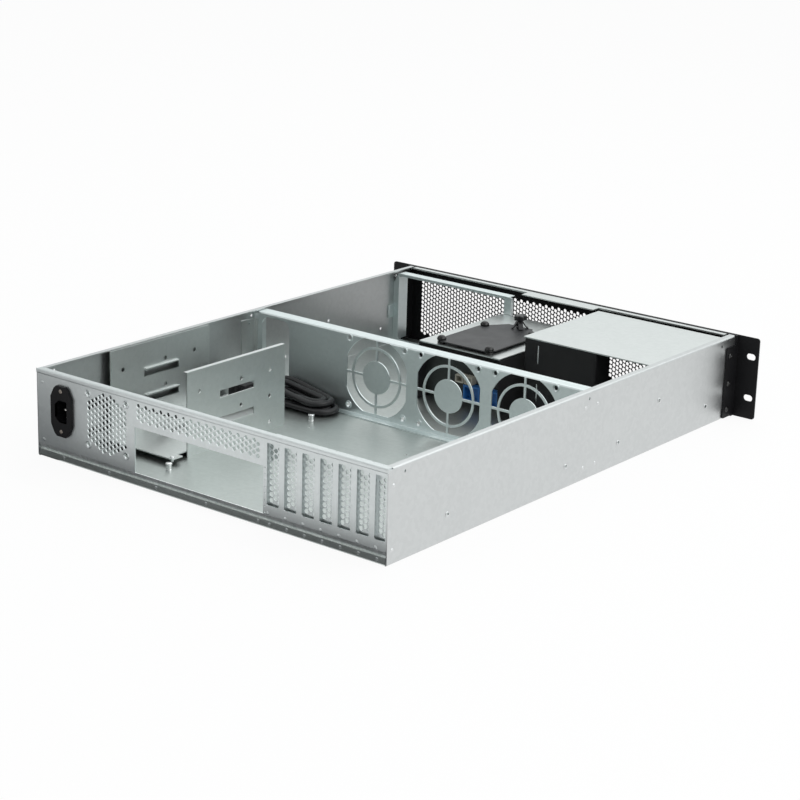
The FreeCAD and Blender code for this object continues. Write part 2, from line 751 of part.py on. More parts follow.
def inlet_screws():
    spots = [(INLET_X, INLET_FLANGE_T, INLET_Z + s * INLET_SCREW_PITCH / 2) for s in (-1, 1)]
    sunk = INLET_FLANGE_T - SCREW_HEAD_H
    screws = []
    for x, y, z in spots:
        head = Part.makeCone(SCREW_SHANK_R, SCREW_HEAD_R, SCREW_HEAD_H, V(x, sunk, z), V(0, 1, 0))
        screws.append(head.fuse(rod(SCREW_SHANK_R, (x, sunk, z), (0, -1, 0), 6.0)).removeSplitter())
    return Part.makeCompound(screws)


def inlet_with_countersinks(inlet):
    sunk = INLET_FLANGE_T - SCREW_HEAD_H
    heights = [INLET_Z + s * INLET_SCREW_PITCH / 2 for s in (-1, 1)]
    cones = [Part.makeCone(SCREW_SHANK_R, SCREW_HEAD_R, SCREW_HEAD_H, V(INLET_X, sunk, z), V(0, 1, 0))
             for z in heights]
    return inlet.cut(cones)


# One guard opening: four sectors outside the ring and four inside it.
def guard_cut(x):
    y0, y1 = FANWALL_Y - SHEET - 1, FANWALL_Y + 1
    square = sheet("xz", rectangle(x, FAN_Z, 2 * GUARD_HALF, 2 * GUARD_HALF), [], y0, y1)
    disc = rod(GUARD_R, (x, y0, FAN_Z), (0, 1, 0), y1 - y0)
    hole = square.common(disc)
    outer = rod(GUARD_RING_R, (x, y0, FAN_Z), (0, 1, 0), y1 - y0)
    inner = rod(GUARD_RING_R - GUARD_RING_W, (x, y0, FAN_Z), (0, 1, 0), y1 - y0)
    hub = rod(GUARD_DISC_R, (x, y0, FAN_Z), (0, 1, 0), y1 - y0)
    half = GUARD_SPOKE_W / 2
    spokes = [block((x - GUARD_R, x + GUARD_R), (y0, y1), (FAN_Z - half, FAN_Z + half)),
              block((x - half, x + half), (y0, y1), (FAN_Z - GUARD_R, FAN_Z + GUARD_R))]
    return hole.cut([outer.cut(inner), hub] + spokes)


def fan_centres():
    return [FAN_FIRST_X - i * FAN_PITCH for i in range(FAN_COUNT)]


# Partition across the case with three fan guards and a cable opening.
def fan_wall():
    inner = INNER_X - FIT
    top = CASE_H - SHEET - 0.4
    path = [(FANWALL_Y + FANWALL_FOOT, 2 * SHEET), (FANWALL_Y, 2 * SHEET), (FANWALL_Y, top),
            (FANWALL_Y - FANWALL_LIP, top)]
    wall = folded("yz", path, SHEET, BEND_R, -inner, inner)
    ends = both_sides(block((inner - SHEET, inner), (FANWALL_Y - FANWALL_END, FANWALL_Y - SHEET),
                            (4.0, top - 6.0)))
    wall = joined([wall] + ends)
    cuts = [guard_cut(x) for x in fan_centres()]
    half = FAN_HOLE_PITCH / 2
    for x in fan_centres():
        for sx in (-1, 1):
            for sz in (-1, 1):
                spot = (x + sx * half, FANWALL_Y - SHEET - 1, FAN_Z + sz * half)
                cuts.append(rod(FAN_HOLE / 2, spot, (0, 1, 0), SHEET + 2))
    gate = rectangle(PASS_X, (PASS_Z0 + PASS_Z1) / 2, PASS_W, PASS_Z1 - PASS_Z0, PASS_R)
    cuts.append(sheet("xz", gate, [], FANWALL_Y - SHEET - 1, FANWALL_Y + 1))
    cuts += [rod(RIVET_SHANK + FIT, (-HALF_W, y, z), (1, 0, 0), CASE_W) for y, z in wall_rivet_spots()]
    return wall.cut(cuts)


# Angle that holds one end of the partition from behind.
def wall_guide(side):
    inner = INNER_X - FIT
    leg = (FANWALL_Y + FIT, FANWALL_Y + GUIDE_REAR_LEG)
    height = (FANWALL_FOOT, CASE_H - 10.0)
    web = block((inner - SHEET, inner), leg, height)
    face = block((inner - GUIDE_FACE, inner), (FANWALL_Y + FIT, FANWALL_Y + FIT + SHEET), height)
    guide = joined([web, face])
    drills = [rod(RIVET_SHANK + FIT, (inner - GUIDE_FACE - 1, y, z), (1, 0, 0), GUIDE_FACE + 2)
              for y, z in wall_rivet_spots()]
    guide = guide.cut(drills)
    return guide if side > 0 else guide.mirror(V(0, 0, 0), V(1, 0, 0))


def wall_rivets():
    length = 2 * SHEET + FIT
    rivets = []
    for y, z in wall_rivet_spots():
        rivets += both_sides(rivet((HALF_W, y, z), (1, 0, 0), length))
    return Part.makeCompound(rivets)


def rail_nuts():
    nuts = []
    for y, z in RAIL_NUTS:
        nut = rod(RAIL_NUT_R, (HALF_W, y, z), (1, 0, 0), RAIL_NUT_PROUD)
        nut = nut.fuse(rod(RAIL_NUT_SHANK, (HALF_W - SHEET, y, z), (1, 0, 0), SHEET)).removeSplitter()
        nut = nut.cut(rod(RAIL_NUT_BORE, (HALF_W - SHEET - 1, y, z), (1, 0, 0), SHEET + 3))
        nuts += both_sides(nut)
    return Part.makeCompound(nuts)


def drive_hole_spots():
    rows = [DRIVE_ROW_Z + i * DRIVE_ROW_PITCH for i in range(DRIVE_ROWS)]
    columns = (DRIVE_HOLE_FIRST, DRIVE_HOLE_MID, DRIVE_HOLE_FIRST + DRIVE_W)
    return [(BAY_Y0 - column, z) for z in rows for column in columns]


# Punched plate: the face towards the drives is at x, with tabs bent to that side.
def drive_plate(x, outward, bottom):
    w0, w1 = (x, x + SHEET) if outward > 0 else (x - SHEET, x)
    cuts = [round_cut("yz", y, z, DRIVE_HOLE) for y, z in drive_hole_spots()]
    tabs = []
    for i in range(DRIVE_ROWS - 1):
        z0 = BAY_SLOT_Z0 + i * DRIVE_ROW_PITCH
        y_mid = BAY_Y0 - BAY_SLOT_START - BAY_SLOT_LEN / 2
        cuts.append(rectangle(y_mid, z0 + BAY_SLOT_H / 2, BAY_SLOT_LEN, BAY_SLOT_H, 0.0))
        z_top = z0 + BAY_SLOT_H
        y_range = (y_mid - BAY_SLOT_LEN / 2 + 1, y_mid + BAY_SLOT_LEN / 2 - 1)
        tab_x = (w0 - BAY_TAB_D, w1) if outward > 0 else (w0, w1 + BAY_TAB_D)
        tabs.append(block(tab_x, y_range, (z_top, z_top + SHEET)))
    outline = rectangle((BAY_Y0 + BAY_Y1) / 2, (bottom + BAY_TOP) / 2, BAY_LEN, BAY_TOP - bottom, 1.0)
    plate = sheet("yz", outline, cuts, w0, w1)
    return plate, tabs


def drive_plate_inner():
    plate, tabs = drive_plate(BAY_INNER_X, -1, SHEET)
    lip = block((BAY_INNER_X - SHEET, BAY_INNER_X - SHEET + BAY_LIP), (BAY_Y1, BAY_Y0),
                (BAY_TOP - SHEET, BAY_TOP))
    return joined([plate, lip] + tabs)


def drive_plate_outer():
    plate, tabs = drive_plate(BAY_OUTER_X, 1, SHEET)
    stay = block((BAY_OUTER_X, INNER_X - 1.0), (BAY_Y1, BAY_Y0), (SHEET, 2 * SHEET))
    return joined([plate, stay] + tabs)


# Raised base between the plates, with an ear that reaches over the rear stud.
def bay_base():
    z0, z1 = BASE_Z, BASE_Z + SHEET
    deck = block((BAY_INNER_X, BAY_OUTER_X), (BAY_Y1, BASE_Y0), (z0, z1))
    ear = block((BASE_EAR_X, BAY_INNER_X), (BASE_Y0 - BASE_EAR_LEN, BASE_Y0), (z0, z1))
    legs = [block((BAY_INNER_X + 12, BAY_OUTER_X - 12), (y, y + SHEET), (SHEET, z1))
            for y in (BAY_Y1, BAY_Y0 - BASE_LEG_IN)]
    hole = rod(SCREW_SHANK_R + 0.3, (BASE_EAR_X + 4.0, BASE_Y0 - 4.0, z0 - 1), (0, 0, 1), 4.0)
    return joined([deck, ear] + legs).cut(hole)


def base_screw():
    return pan_screw((BASE_EAR_X + 4.0, BASE_Y0 - 4.0, BASE_Z + SHEET), (0, 0, 1),
                     SCREW_HEAD_R * 0.8, SCREW_HEAD_H * 0.8, SCREW_SHANK_R, 4.0)


def floor_studs():
    studs = []
    for y in (STUD_REAR_Y, STUD_FRONT_Y):
        post = rod(STUD_R, (STUD_X, y, SHEET), (0, 0, 1), STUD_H - STUD_HEAD_H)
        cap = rod(STUD_HEAD_R, (STUD_X, y, SHEET + STUD_H - STUD_HEAD_H), (0, 0, 1), STUD_HEAD_H)
        root = rod(STUD_R - 1, (STUD_X, y, FIT), (0, 0, 1), SHEET)
        studs.append(joined([post, cap, root]))
    return Part.makeCompound(studs)


# Folded frame at the front right, with lips that reach towards the front panel.
def bay_frame():
    outer_x = INNER_X - FIT
    inner_x0 = FRAME_X0 + FRAME_POST_W
    inner_x1 = outer_x - FRAME_OUTER_POST_W
    outline = [(FRAME_X0, SHEET, 0), (outer_x, SHEET, 0), (outer_x, FRAME_TOP - FRAME_CUT_H, 0),
               (outer_x - FRAME_CUT_W, FRAME_TOP, 0), (FRAME_X0, FRAME_TOP, 2.0)]
    mid_x = (inner_x0 + inner_x1) / 2
    z0, z1 = SHEET + FRAME_SILL_H, FRAME_TOP - FRAME_BAR_H
    opening = rectangle(mid_x, (z0 + z1) / 2, inner_x1 - inner_x0, z1 - z0, 0.5)
    face = sheet("xz", outline, [opening], FRAME_Y - SHEET, FRAME_Y)
    top = block((FRAME_X0 + 3, outer_x - FRAME_CUT_W - 1), (FRAME_Y - FRAME_TOP_LIP, FRAME_Y - SHEET / 2),
                (FRAME_TOP - SHEET, FRAME_TOP))
    left = block((inner_x1, inner_x1 + SHEET), (FRAME_Y - FRAME_SIDE_LIP, FRAME_Y - SHEET / 2), (z0, z1 - 2))
    right = block((inner_x0 - SHEET, inner_x0), (FRAME_Y - FRAME_SIDE_LIP, FRAME_Y - SHEET / 2), (z0, z1 - 2))
    foot = block((FRAME_X0 + 6, outer_x - 6), (FRAME_Y - FRAME_TOP_LIP, FRAME_Y - SHEET / 2),
                 (SHEET, 2 * SHEET))
    tab = block((outer_x - SHEET, outer_x), (FRAME_Y - SHEET, FRAME_Y + FRAME_TAB_D),
                (FRAME_TAB_Z0, FRAME_TAB_Z0 + FRAME_TAB_H))
    return joined([face, top, left, right, foot, tab])


# Black cage under the deck: two walls with feet turned outwards.
def drive_cage():
    top = CAGE_TOP - SHEET
    foot = 2 * SHEET
    left_path = [(CAGE_X1 + CAGE_FOOT, foot), (CAGE_X1, foot), (CAGE_X1, top), (CAGE_X1 - CAGE_LIP, top)]
    right_path = [(CAGE_X0 + CAGE_LIP, top), (CAGE_X0, top), (CAGE_X0, foot), (CAGE_X0 - CAGE_FOOT, foot)]
    left = folded("xz", left_path, SHEET, BEND_R, CAGE_Y1, CAGE_Y0)
    right = folded("xz", right_path, SHEET, BEND_R, CAGE_Y1, CAGE_Y0)
    tie = block((CAGE_X0, CAGE_X1), (CAGE_Y1, CAGE_Y1 + 14.0), (top - SHEET, top))
    return joined([left, right, tie])


def cage_deck():
    outline = rectangle((CAGE_X0 + CAGE_X1) / 2, (CAGE_Y0 + CAGE_Y1) / 2, CAGE_X1 - CAGE_X0,
                        CAGE_Y0 - CAGE_Y1, 1.0)
    return sheet("xy", outline, [], CAGE_TOP - SHEET, CAGE_TOP)


def backplane():
    x0, x1 = CAGE_X0 + SHEET + FIT, CAGE_X1 - SHEET - FIT
    y = CAGE_Y0 - 12.0
    board = block((x0, x1), (y - PLANE_BOARD_T, y), (PLANE_BOARD_Z, PLANE_BOARD_Z + PLANE_BOARD_H))
    return board


def socket_row(width, height, z, centres, wall):
    y = CAGE_Y0 - 12.0
    sockets = []
    for x in centres:
        shell = block((x - width / 2, x + width / 2), (y, y + SOCKET_D), (z, z + height))
        hollow = block((x - width / 2 + wall, x + width / 2 - wall), (y + 2.0, y + SOCKET_D + 1),
                       (z + wall, z + height - wall))
        sockets.append(shell.cut(hollow))
    return Part.makeCompound(sockets)


def data_sockets():
    first = CAGE_X0 + SHEET + DATA_SOCKET_W / 2 + 2.0
    return socket_row(DATA_SOCKET_W, DATA_SOCKET_H, DATA_SOCKET_Z, (first, first + DATA_SOCKET_W + 2.0), 1.8)


def power_sockets():
    return socket_row(POWER_SOCKET_W, POWER_SOCKET_H, POWER_SOCKET_Z, POWER_SOCKET_X, 1.2)


# Small drive plate: tapered at the front and notched for the four rubber grommets.
def small_drive_plate():
    z0 = CAGE_TOP + SMALL_LIFT
    half = SMALL_W / 2
    corners = [(half - SMALL_TAPER_W, SMALL_Y1), (half, SMALL_Y1 + SMALL_TAPER_L),
               (half, SMALL_Y0 - SMALL_CORNER), (half - SMALL_CORNER, SMALL_Y0)]
    corners += [(-x, y) for x, y in corners[::-1]]
    outline = [(SMALL_X + u, v, 1.0) for u, v in corners]
    plate = sheet("xy", outline, [], z0, z0 + SHEET)
    cuts = [rod(KNOB_SHAFT_R + FIT, (KNOB_X, KNOB_Y, z0 - 1), (0, 0, 1), SHEET + 2)]
    for x, y in grommet_spots():
        cuts.append(rod(GROMMET_NECK_R + FIT, (x, y, z0 - 1), (0, 0, 1), SHEET + 2))
        side = SMALL_X + math.copysign(SMALL_W, x - SMALL_X)
        neck = (y - GROMMET_NECK_R, y + GROMMET_NECK_R)
        cuts.append(block((min(x, side), max(x, side)), neck, (z0 - 1, z0 + 3)))
    return plate.cut(cuts)


def grommet_spots():
    columns = (SMALL_X - SMALL_PITCH_X / 2, SMALL_X + SMALL_PITCH_X / 2)
    rows = (SMALL_Y - SMALL_PITCH_Y / 2, SMALL_Y + SMALL_PITCH_Y / 2)
    return [(x, y) for x in columns for y in rows]


def grommets():
    z0 = CAGE_TOP
    z1 = z0 + SMALL_LIFT
    z2 = z1 + SHEET
    group = []
    for x, y in grommet_spots():
        foot = rod(GROMMET_R, (x, y, z0), (0, 0, 1), SMALL_LIFT)
        neck = rod(GROMMET_NECK_R, (x, y, z1), (0, 0, 1), SHEET)
        dome = rod(GROMMET_R, (x, y, z2), (0, 0, 1), GROMMET_H - SMALL_LIFT)
        rim = [e for e in dome.Edges if e.Closed and e.CenterOfMass.z > z2 + 1]
        dome = dome.makeFillet((GROMMET_H - SMALL_LIFT) * 0.6, rim)
        group.append(joined([foot, neck, dome]))
    return Part.makeCompound(group)


# Lobed thumb knob on a foot with four splayed legs.
def thumb_knob():
    base = CAGE_TOP + SMALL_LIFT + SHEET
    top = base + KNOB_H
    head = rod(KNOB_HEAD_R, (KNOB_X, KNOB_Y, top - KNOB_HEAD_H), (0, 0, 1), KNOB_HEAD_H)
    flutes = []
    for k in range(KNOB_LOBES):
        angle = 2 * math.pi * k / KNOB_LOBES
        reach = KNOB_HEAD_R * 1.12
        spot = (KNOB_X + reach * math.cos(angle), KNOB_Y + reach * math.sin(angle), base)
        flutes.append(rod(KNOB_HEAD_R * 0.36, spot, (0, 0, 1), KNOB_H + 1))
    head = head.cut(flutes)
    shaft = rod(KNOB_SHAFT_R, (KNOB_X, KNOB_Y, CAGE_TOP), (0, 0, 1), KNOB_H + SMALL_LIFT + SHEET - 1)
    rim = rod(KNOB_FOOT_R, (KNOB_X, KNOB_Y, base), (0, 0, 1), 1.5)
    rim = rim.cut(rod(KNOB_FOOT_R - 2.5, (KNOB_X, KNOB_Y, base), (0, 0, 1), 1.5))
    legs = []
    for k in range(4):
        profile = [(KNOB_SHAFT_R - 1, KNOB_H * 0.62, 0), (KNOB_FOOT_R - 2.4, 0.5, 0),
                   (KNOB_FOOT_R - 0.4, 0.5, 0), (KNOB_SHAFT_R - 0.5, KNOB_H * 0.74, 0)]
        leg = sheet("xz", profile, [], -0.9, 0.9)
        leg.rotate(V(0, 0, 0), V(0, 0, 1), 45 + 90 * k)
        leg.translate(V(KNOB_X, KNOB_Y, base))
        legs.append(leg)
    return joined([head, shaft, rim] + legs)


# Zinc cover over the front bay, tucked under the side wall's hem.
def bay_cover():
    top = CASE_H - SHEET - FIT
    plate = block((COVER_X0, COVER_X1), (COVER_Y1, COVER_Y0), (top - SHEET, top))
    lip = block((COVER_X1 - SHEET, COVER_X1), (COVER_Y1, COVER_Y0 - BRACKET_D - 4),
                (top - SHEET - COVER_LIP, top))
    front_lip = block((COVER_X0, COVER_X1), (COVER_Y1, COVER_Y1 + SHEET), (top - SHEET - COVER_LIP, top))
    return joined([plate, lip, front_lip])


def bay_bracket():
    top = CASE_H - 2 * SHEET - FIT
    path = [(BRACKET_X1, COVER_Y0 - BRACKET_D), (BRACKET_X1, COVER_Y0 - FIT), (BRACKET_X0, COVER_Y0 - FIT),
            (BRACKET_X0, COVER_Y0 - BRACKET_D)]
    walls = folded("xy", path, SHEET, BEND_R, SHEET, top)
    foot = block((BRACKET_X0 + 4, BRACKET_X1 - 4),
                 (COVER_Y0 - FIT - BRACKET_FOOT, COVER_Y0 - FIT - SHEET / 2), (SHEET, 2 * SHEET))
    slots = [rectangle(BRACKET_SLOT_X, z + BRACKET_SLOT_L / 2, BRACKET_SLOT_W, BRACKET_SLOT_L, 1.2)
             for z in BRACKET_SLOT_Z]
    cuts = [sheet("xz", slot, [], COVER_Y0 - 2 * SHEET, COVER_Y0 + 1) for slot in slots]
    return joined([walls, foot]).cut(cuts)


# Zinc rail behind the front panel's top lip, wider over the middle bay.
def front_rail():
    y0 = FRONT_Y + PANEL_LIP + FIT
    inner = INNER_X - FIT
    end = HALF_W - HEM_W - RAIL_GAP
    outline = [(-end, y0, 0), (end, y0, 0), (end, y0 + RAIL_D, 0), (RAIL_WIDE_X1, y0 + RAIL_D, 0),
               (RAIL_WIDE_X1, y0 + RAIL_WIDE_D, 0), (RAIL_WIDE_X0, y0 + RAIL_WIDE_D, 0),
               (RAIL_WIDE_X0, y0 + RAIL_D, 0), (-end, y0 + RAIL_D, 0)]
    top = CASE_H
    strip = sheet("xy", outline, [], top - SHEET, top)
    web = block((-end, end), (y0, y0 + SHEET), (top - RAIL_DROP, top))
    ends = both_sides(block((end - SHEET, inner), (y0, y0 + SHEET), (top - RAIL_DROP, top - SHEET - FIT)))
    return joined([strip, web] + ends)


# Front panel: perforated sheet with folded lips on all four sides.
def front_panel():
    half = INNER_X - FIT
    top = CASE_H
    mesh_w = PANEL_MESH_X1 - PANEL_MESH_X0
    mesh_h = PANEL_MESH_Z1 - PANEL_MESH_Z0
    mesh = hex_grid(PANEL_MESH_X0 + mesh_w / 2, PANEL_MESH_Z0 + mesh_h / 2,
                    mesh_w - PANEL_HEX_PITCH, mesh_h - PANEL_HEX_PITCH, PANEL_HEX_PITCH)
    cuts = [hexagon(x, z, PANEL_HEX_SIZE) for x, z in mesh]
    cuts.append(round_cut("xz", BUTTON_X, POWER_Z, 2 * (POWER_R + BUTTON_GAP)))
    cuts.append(round_cut("xz", BUTTON_X, RESET_Z, 2 * (RESET_R + BUTTON_GAP)))
    cuts += [round_cut("xz", LED_X, z, 2 * LED_R + 2 * FIT) for z in (POWER_Z, RESET_Z)]
    cuts += [rectangle(USB_X, z, USB_W + 2 * FIT, USB_H + 2 * FIT, 0.3) for z in USB_Z]
    outline = rectangle(0, top / 2, CASE_W, top, 0.5)
    face = sheet("xz", outline, cuts, FRONT_Y, PANEL_BACK)
    lip_top = block((-HALF_W, HALF_W), (FRONT_Y, FRONT_Y + PANEL_LIP), (top - SHEET, top))
    lip_low = block((-HALF_W, HALF_W), (FRONT_Y, FRONT_Y + PANEL_LIP), (0, SHEET))
    sides = both_sides(block((half - SHEET, half), (FRONT_Y, FRONT_Y + PANEL_SIDE_LIP),
                             (2 * SHEET, top - PANEL_SIDE_DROP)))
    return joined([face, lip_top, lip_low] + sides)


# A button: a cap through the panel, a collar behind it and a stem to its switch.
def button(z, radius):
    y0 = FRONT_Y - BUTTON_PROUD
    cap = rod(radius, (BUTTON_X, y0, z), (0, 1, 0), BUTTON_PROUD + SHEET + BUTTON_GAP)
    rim = [e for e in cap.Edges if e.Closed and e.CenterOfMass.y < y0 + 0.01]
    cap = cap.makeFillet(0.5, rim)
    collar_y = PANEL_BACK + BUTTON_GAP
    collar = rod(radius + BUTTON_COLLAR, (BUTTON_X, collar_y, z), (0, 1, 0), BUTTON_COLLAR_T)
    stem = rod(BUTTON_STEM_R, (BUTTON_X, collar_y, z), (0, 1, 0), BUTTON_LEN - BUTTON_GAP)
    return joined([cap, collar, stem])


def switch_face_y():
    return PANEL_BACK + BUTTON_LEN + BUTTON_TRAVEL + BUTTON_GAP


def control_board_y():
    return switch_face_y() + SWITCH_D


def control_switches():
    y = switch_face_y()
    half = SWITCH_SIZE / 2
    width = (BUTTON_X - half, BUTTON_X + half)
    return Part.makeCompound([block(width, (y, y + SWITCH_D), (z - half, z + half))
                              for z in (POWER_Z, RESET_Z)])


def control_board():
    y = control_board_y()
    x0 = CONTROL_X - CONTROL_BOARD_W / 2
    x1 = CONTROL_X + CONTROL_BOARD_W / 2
    outline = rectangle((x0 + x1) / 2, CONTROL_BOARD_Z0 + CONTROL_BOARD_H / 2, x1 - x0, CONTROL_BOARD_H, 1.5)
    return sheet("xz", outline, [], y, y + CONTROL_BOARD_T)


def control_posts():
    y0, y1 = PANEL_BACK, control_board_y()
    spots = [(CONTROL_X + sx * (CONTROL_BOARD_W / 2 - 4), z) for sx in (-1, 1)
             for z in (CONTROL_BOARD_Z0 + 3.5, CONTROL_BOARD_Z0 + CONTROL_BOARD_H - 3.0)]
    return Part.makeCompound([rod(CONTROL_POST_R, (x, y0, z), (0, 1, 0), y1 - y0) for x, z in spots])


def usb_sockets():
    y0, y1 = FRONT_Y + 0.2, control_board_y()
    shells = []
    for z in USB_Z:
        shell = block((USB_X - USB_W / 2, USB_X + USB_W / 2), (y0, y1), (z - USB_H / 2, z + USB_H / 2))
        w, h = USB_W / 2 - USB_WALL, USB_H / 2 - USB_WALL
        hollow = block((USB_X - w, USB_X + w), (y0 - 1, y0 + USB_D - 3), (z - h, z + h))
        shells.append(shell.cut(hollow))
    return Part.makeCompound(shells)


def usb_tongues():
    y0 = FRONT_Y + 1.2
    y1 = FRONT_Y + 0.2 + USB_D - 3
    return Part.makeCompound([block((USB_X - 5.6, USB_X + 5.6), (y0, y1), (z, z + 1.8)) for z in USB_Z])


def led_lenses():
    lenses = []
    for z in (POWER_Z, RESET_Z):
        lens = rod(LED_R, (LED_X, FRONT_Y, z), (0, 1, 0), control_board_y() - FRONT_Y)
        lenses.append(lens)
    return Part.makeCompound(lenses)


# Rack ear: a face with oblong holes and a flange along the side wall.
def rack_ear(side):
    outer = RACK_W / 2
    corners = [(HALF_W, 0, 0), (outer, 0, EAR_CORNER_R), (outer, CASE_H, EAR_CORNER_R), (HALF_W, CASE_H, 0)]
    slots = [rectangle(EAR_SLOT_X, EAR_SLOT_Z + i * EAR_SLOT_PITCH_Z, EAR_SLOT_L, EAR_SLOT_H,
                       EAR_SLOT_H / 2 - 0.01) for i in range(2)]
    face = sheet("xz", corners, slots, FRONT_Y, FRONT_Y + EAR_T)
    web = block((HALF_W, HALF_W + EAR_T), (FRONT_Y, FRONT_Y + PANEL_LIP), (0, CASE_H))
    outline = [(FRONT_Y + EAR_FLANGE, EAR_FLANGE_Z0, 2.0), (FRONT_Y + EAR_FLANGE, EAR_FLANGE_Z1, 2.0),
               (FRONT_Y, EAR_FLANGE_Z1, 0), (FRONT_Y, EAR_FLANGE_Z0, 0)]
    holes = [round_cut("yz", EAR_SCREW_Y, z, 2 * SCREW_SHANK_R + 2 * FIT) for z in EAR_SCREW_Z]
    flange = sheet("yz", outline, holes, HALF_W, HALF_W + EAR_T)
    ear = joined([face, web, flange])
    return ear if side > 0 else ear.mirror(V(0, 0, 0), V(1, 0, 0))


def ear_screws():
    screws = []
    for z in EAR_SCREW_Z:
        screw = pan_screw((HALF_W + EAR_T, EAR_SCREW_Y, z), (1, 0, 0), SCREW_HEAD_R, SCREW_HEAD_H * 0.7,
                          SCREW_SHANK_R, EAR_T + SHEET)
        screws += both_sides(screw)
    return Part.makeCompound(screws)


# Route of straight runs joined by tangent arcs, each as large as its runs allow.
def lead_path(points):
    spots = [V(*p) for p in points]
    edges = []
    start = spots[0]
    for i in range(1, len(spots) - 1):
        a = spots[i - 1] - spots[i]
        b = spots[i + 1] - spots[i]
        run = min(a.Length, b.Length)
        a.normalize()
        b.normalize()
        half = a.getAngle(b) / 2
        reach = 0.45 * run
        radius = reach * math.tan(half)
        middle = (a + b).normalize()
        centre = spots[i] + middle * (radius / math.sin(half))
        first = spots[i] + a * reach
        last = spots[i] + b * reach
        print("lead bend", i, "radius", round(radius, 1), "turn", round(180 - math.degrees(2 * half), 1))
        edges.append(Part.makeLine(start, first))
        edges.append(Part.Arc(first, centre - middle * radius, last).toShape())
        start = last
    edges.append(Part.makeLine(start, spots[-1]))
    return Part.Wire(edges)


def lead_run():
    path = lead_path(LEAD_POINTS)
    first = V(*LEAD_POINTS[1]) - V(*LEAD_POINTS[0])
    section = Part.Wire([Part.makeCircle(LEAD_R, V(*LEAD_POINTS[0]), first)])
    tube = path.makePipeShell([section], True, False)
    wanted = math.pi * LEAD_R ** 2 * path.Length
    print("lead length", round(path.Length, 1), "volume ratio", round(tube.Volume / wanted, 4))
    return tube


# The folded bundle of lead, as one closed solid of its outer shape.
def lead_hank():
    length, depth = HANK_X1 - HANK_X0, HANK_Y0 - HANK_Y1
    plan = rectangle((HANK_X0 + HANK_X1) / 2, (HANK_Y0 + HANK_Y1) / 2, length, depth, depth * 0.42)
    foot = 2 * SHEET
    profile = [(HANK_X0, foot, 0), (HANK_X1, foot, 0)] + [(x, z, 0) for x, z in HANK_TOP]
    return sheet("xy", plan, [], 0, CASE_H).common(sheet("xz", profile, [], HANK_Y1, HANK_Y0))


# Connector on the far end of the lead, beside the bundle.
def lead_plug():
    base = 2 * SHEET
    outline = rectangle(PLUG_Y, base + PLUG_H / 2, PLUG_W, PLUG_H, 2.0)
    return sheet("yz", outline, [], HANK_X1, HANK_X1 + PLUG_L)


def main():
    pieces = {
        "slot_ledge": slot_ledge(),
        "slot_screws": slot_screws(),
        "power_inlet": inlet_with_countersinks(power_inlet()),
        "inlet_pins": inlet_pins(),
        "inlet_screws": inlet_screws(),
        "fan_wall": fan_wall(),
        "wall_guide_right": wall_guide(1),
        "wall_guide_left": wall_guide(-1),
        "wall_rivets": wall_rivets(),
        "rail_nuts": rail_nuts(),
        "drive_plate_inner": drive_plate_inner(),
        "drive_plate_outer": drive_plate_outer(),
        "bay_base": bay_base(),
        "base_screw": base_screw(),
        "floor_studs": floor_studs(),
        "bay_frame": bay_frame(),
        "drive_cage": drive_cage(),
        "cage_deck": cage_deck(),
        "backplane": backplane(),
        "data_sockets": data_sockets(),
        "power_sockets": power_sockets(),
        "small_drive_plate": small_drive_plate(),
        "grommets": grommets(),
        "thumb_knob": thumb_knob(),
        "bay_cover": bay_cover(),
        "bay_bracket": bay_bracket(),
        "front_rail": front_rail(),
        "front_panel": front_panel(),
        "power_button": button(POWER_Z, POWER_R),
        "reset_button": button(RESET_Z, RESET_R),
        "control_switches": control_switches(),
        "control_board": control_board(),
        "control_posts": control_posts(),
        "usb_sockets": usb_sockets(),
        "usb_tongues": usb_tongues(),
        "led_lenses": led_lenses(),
        "ear_right": rack_ear(1),
        "ear_left": rack_ear(-1),
        "ear_screws": ear_screws(),
        "lead_run": lead_run(),
        "lead_hank": lead_hank(),
        "lead_plug": lead_plug(),
    }
    pieces.update(tray_parts())
    pieces.update(rear_parts())
    for i, (slot, span) in enumerate(zip(slot_spans(), cover_spans())):
        pieces["slot_cover_" + str(i + 1)] = slot_cover(slot, span)
    for name, shape in pieces.items():
        export(name, shape)


main()
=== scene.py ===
# %% [markdown]
# # An open rackmount server case
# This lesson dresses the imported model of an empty 2U rack case: a body folded from galvanised
# sheet, a black front with rack ears, a partition with fan guards, drive bays and a mains lead.
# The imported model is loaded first. It stays where it is; every new piece is made around it.
# Lengths below are written in millimetres from the rear wall's outer face and turned to metres.

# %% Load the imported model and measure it
import json
import math
import bmesh
import bpy
from mathutils import Matrix, Quaternion, Vector


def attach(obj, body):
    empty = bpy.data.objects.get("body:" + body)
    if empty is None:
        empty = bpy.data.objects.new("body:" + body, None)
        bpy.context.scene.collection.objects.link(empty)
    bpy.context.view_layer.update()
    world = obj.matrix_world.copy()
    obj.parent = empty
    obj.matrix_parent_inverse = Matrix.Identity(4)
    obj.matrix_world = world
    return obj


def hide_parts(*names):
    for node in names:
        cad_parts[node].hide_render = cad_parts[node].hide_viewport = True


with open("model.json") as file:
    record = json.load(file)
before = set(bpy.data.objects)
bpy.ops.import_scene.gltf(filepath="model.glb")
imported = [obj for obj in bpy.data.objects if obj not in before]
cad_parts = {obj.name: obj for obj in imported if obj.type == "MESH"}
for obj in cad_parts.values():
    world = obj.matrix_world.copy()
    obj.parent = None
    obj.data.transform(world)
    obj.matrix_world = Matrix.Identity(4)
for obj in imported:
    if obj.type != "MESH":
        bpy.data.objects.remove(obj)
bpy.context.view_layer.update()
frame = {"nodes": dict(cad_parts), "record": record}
CASE = "case"
MM = 0.001
REAR_FACE_Y = 0.2898


def at(x, y, z):
    """A point given in millimetres from the rear wall's face, in the frame's metres."""
    return Vector((x * MM, REAR_FACE_Y + y * MM, z * MM))


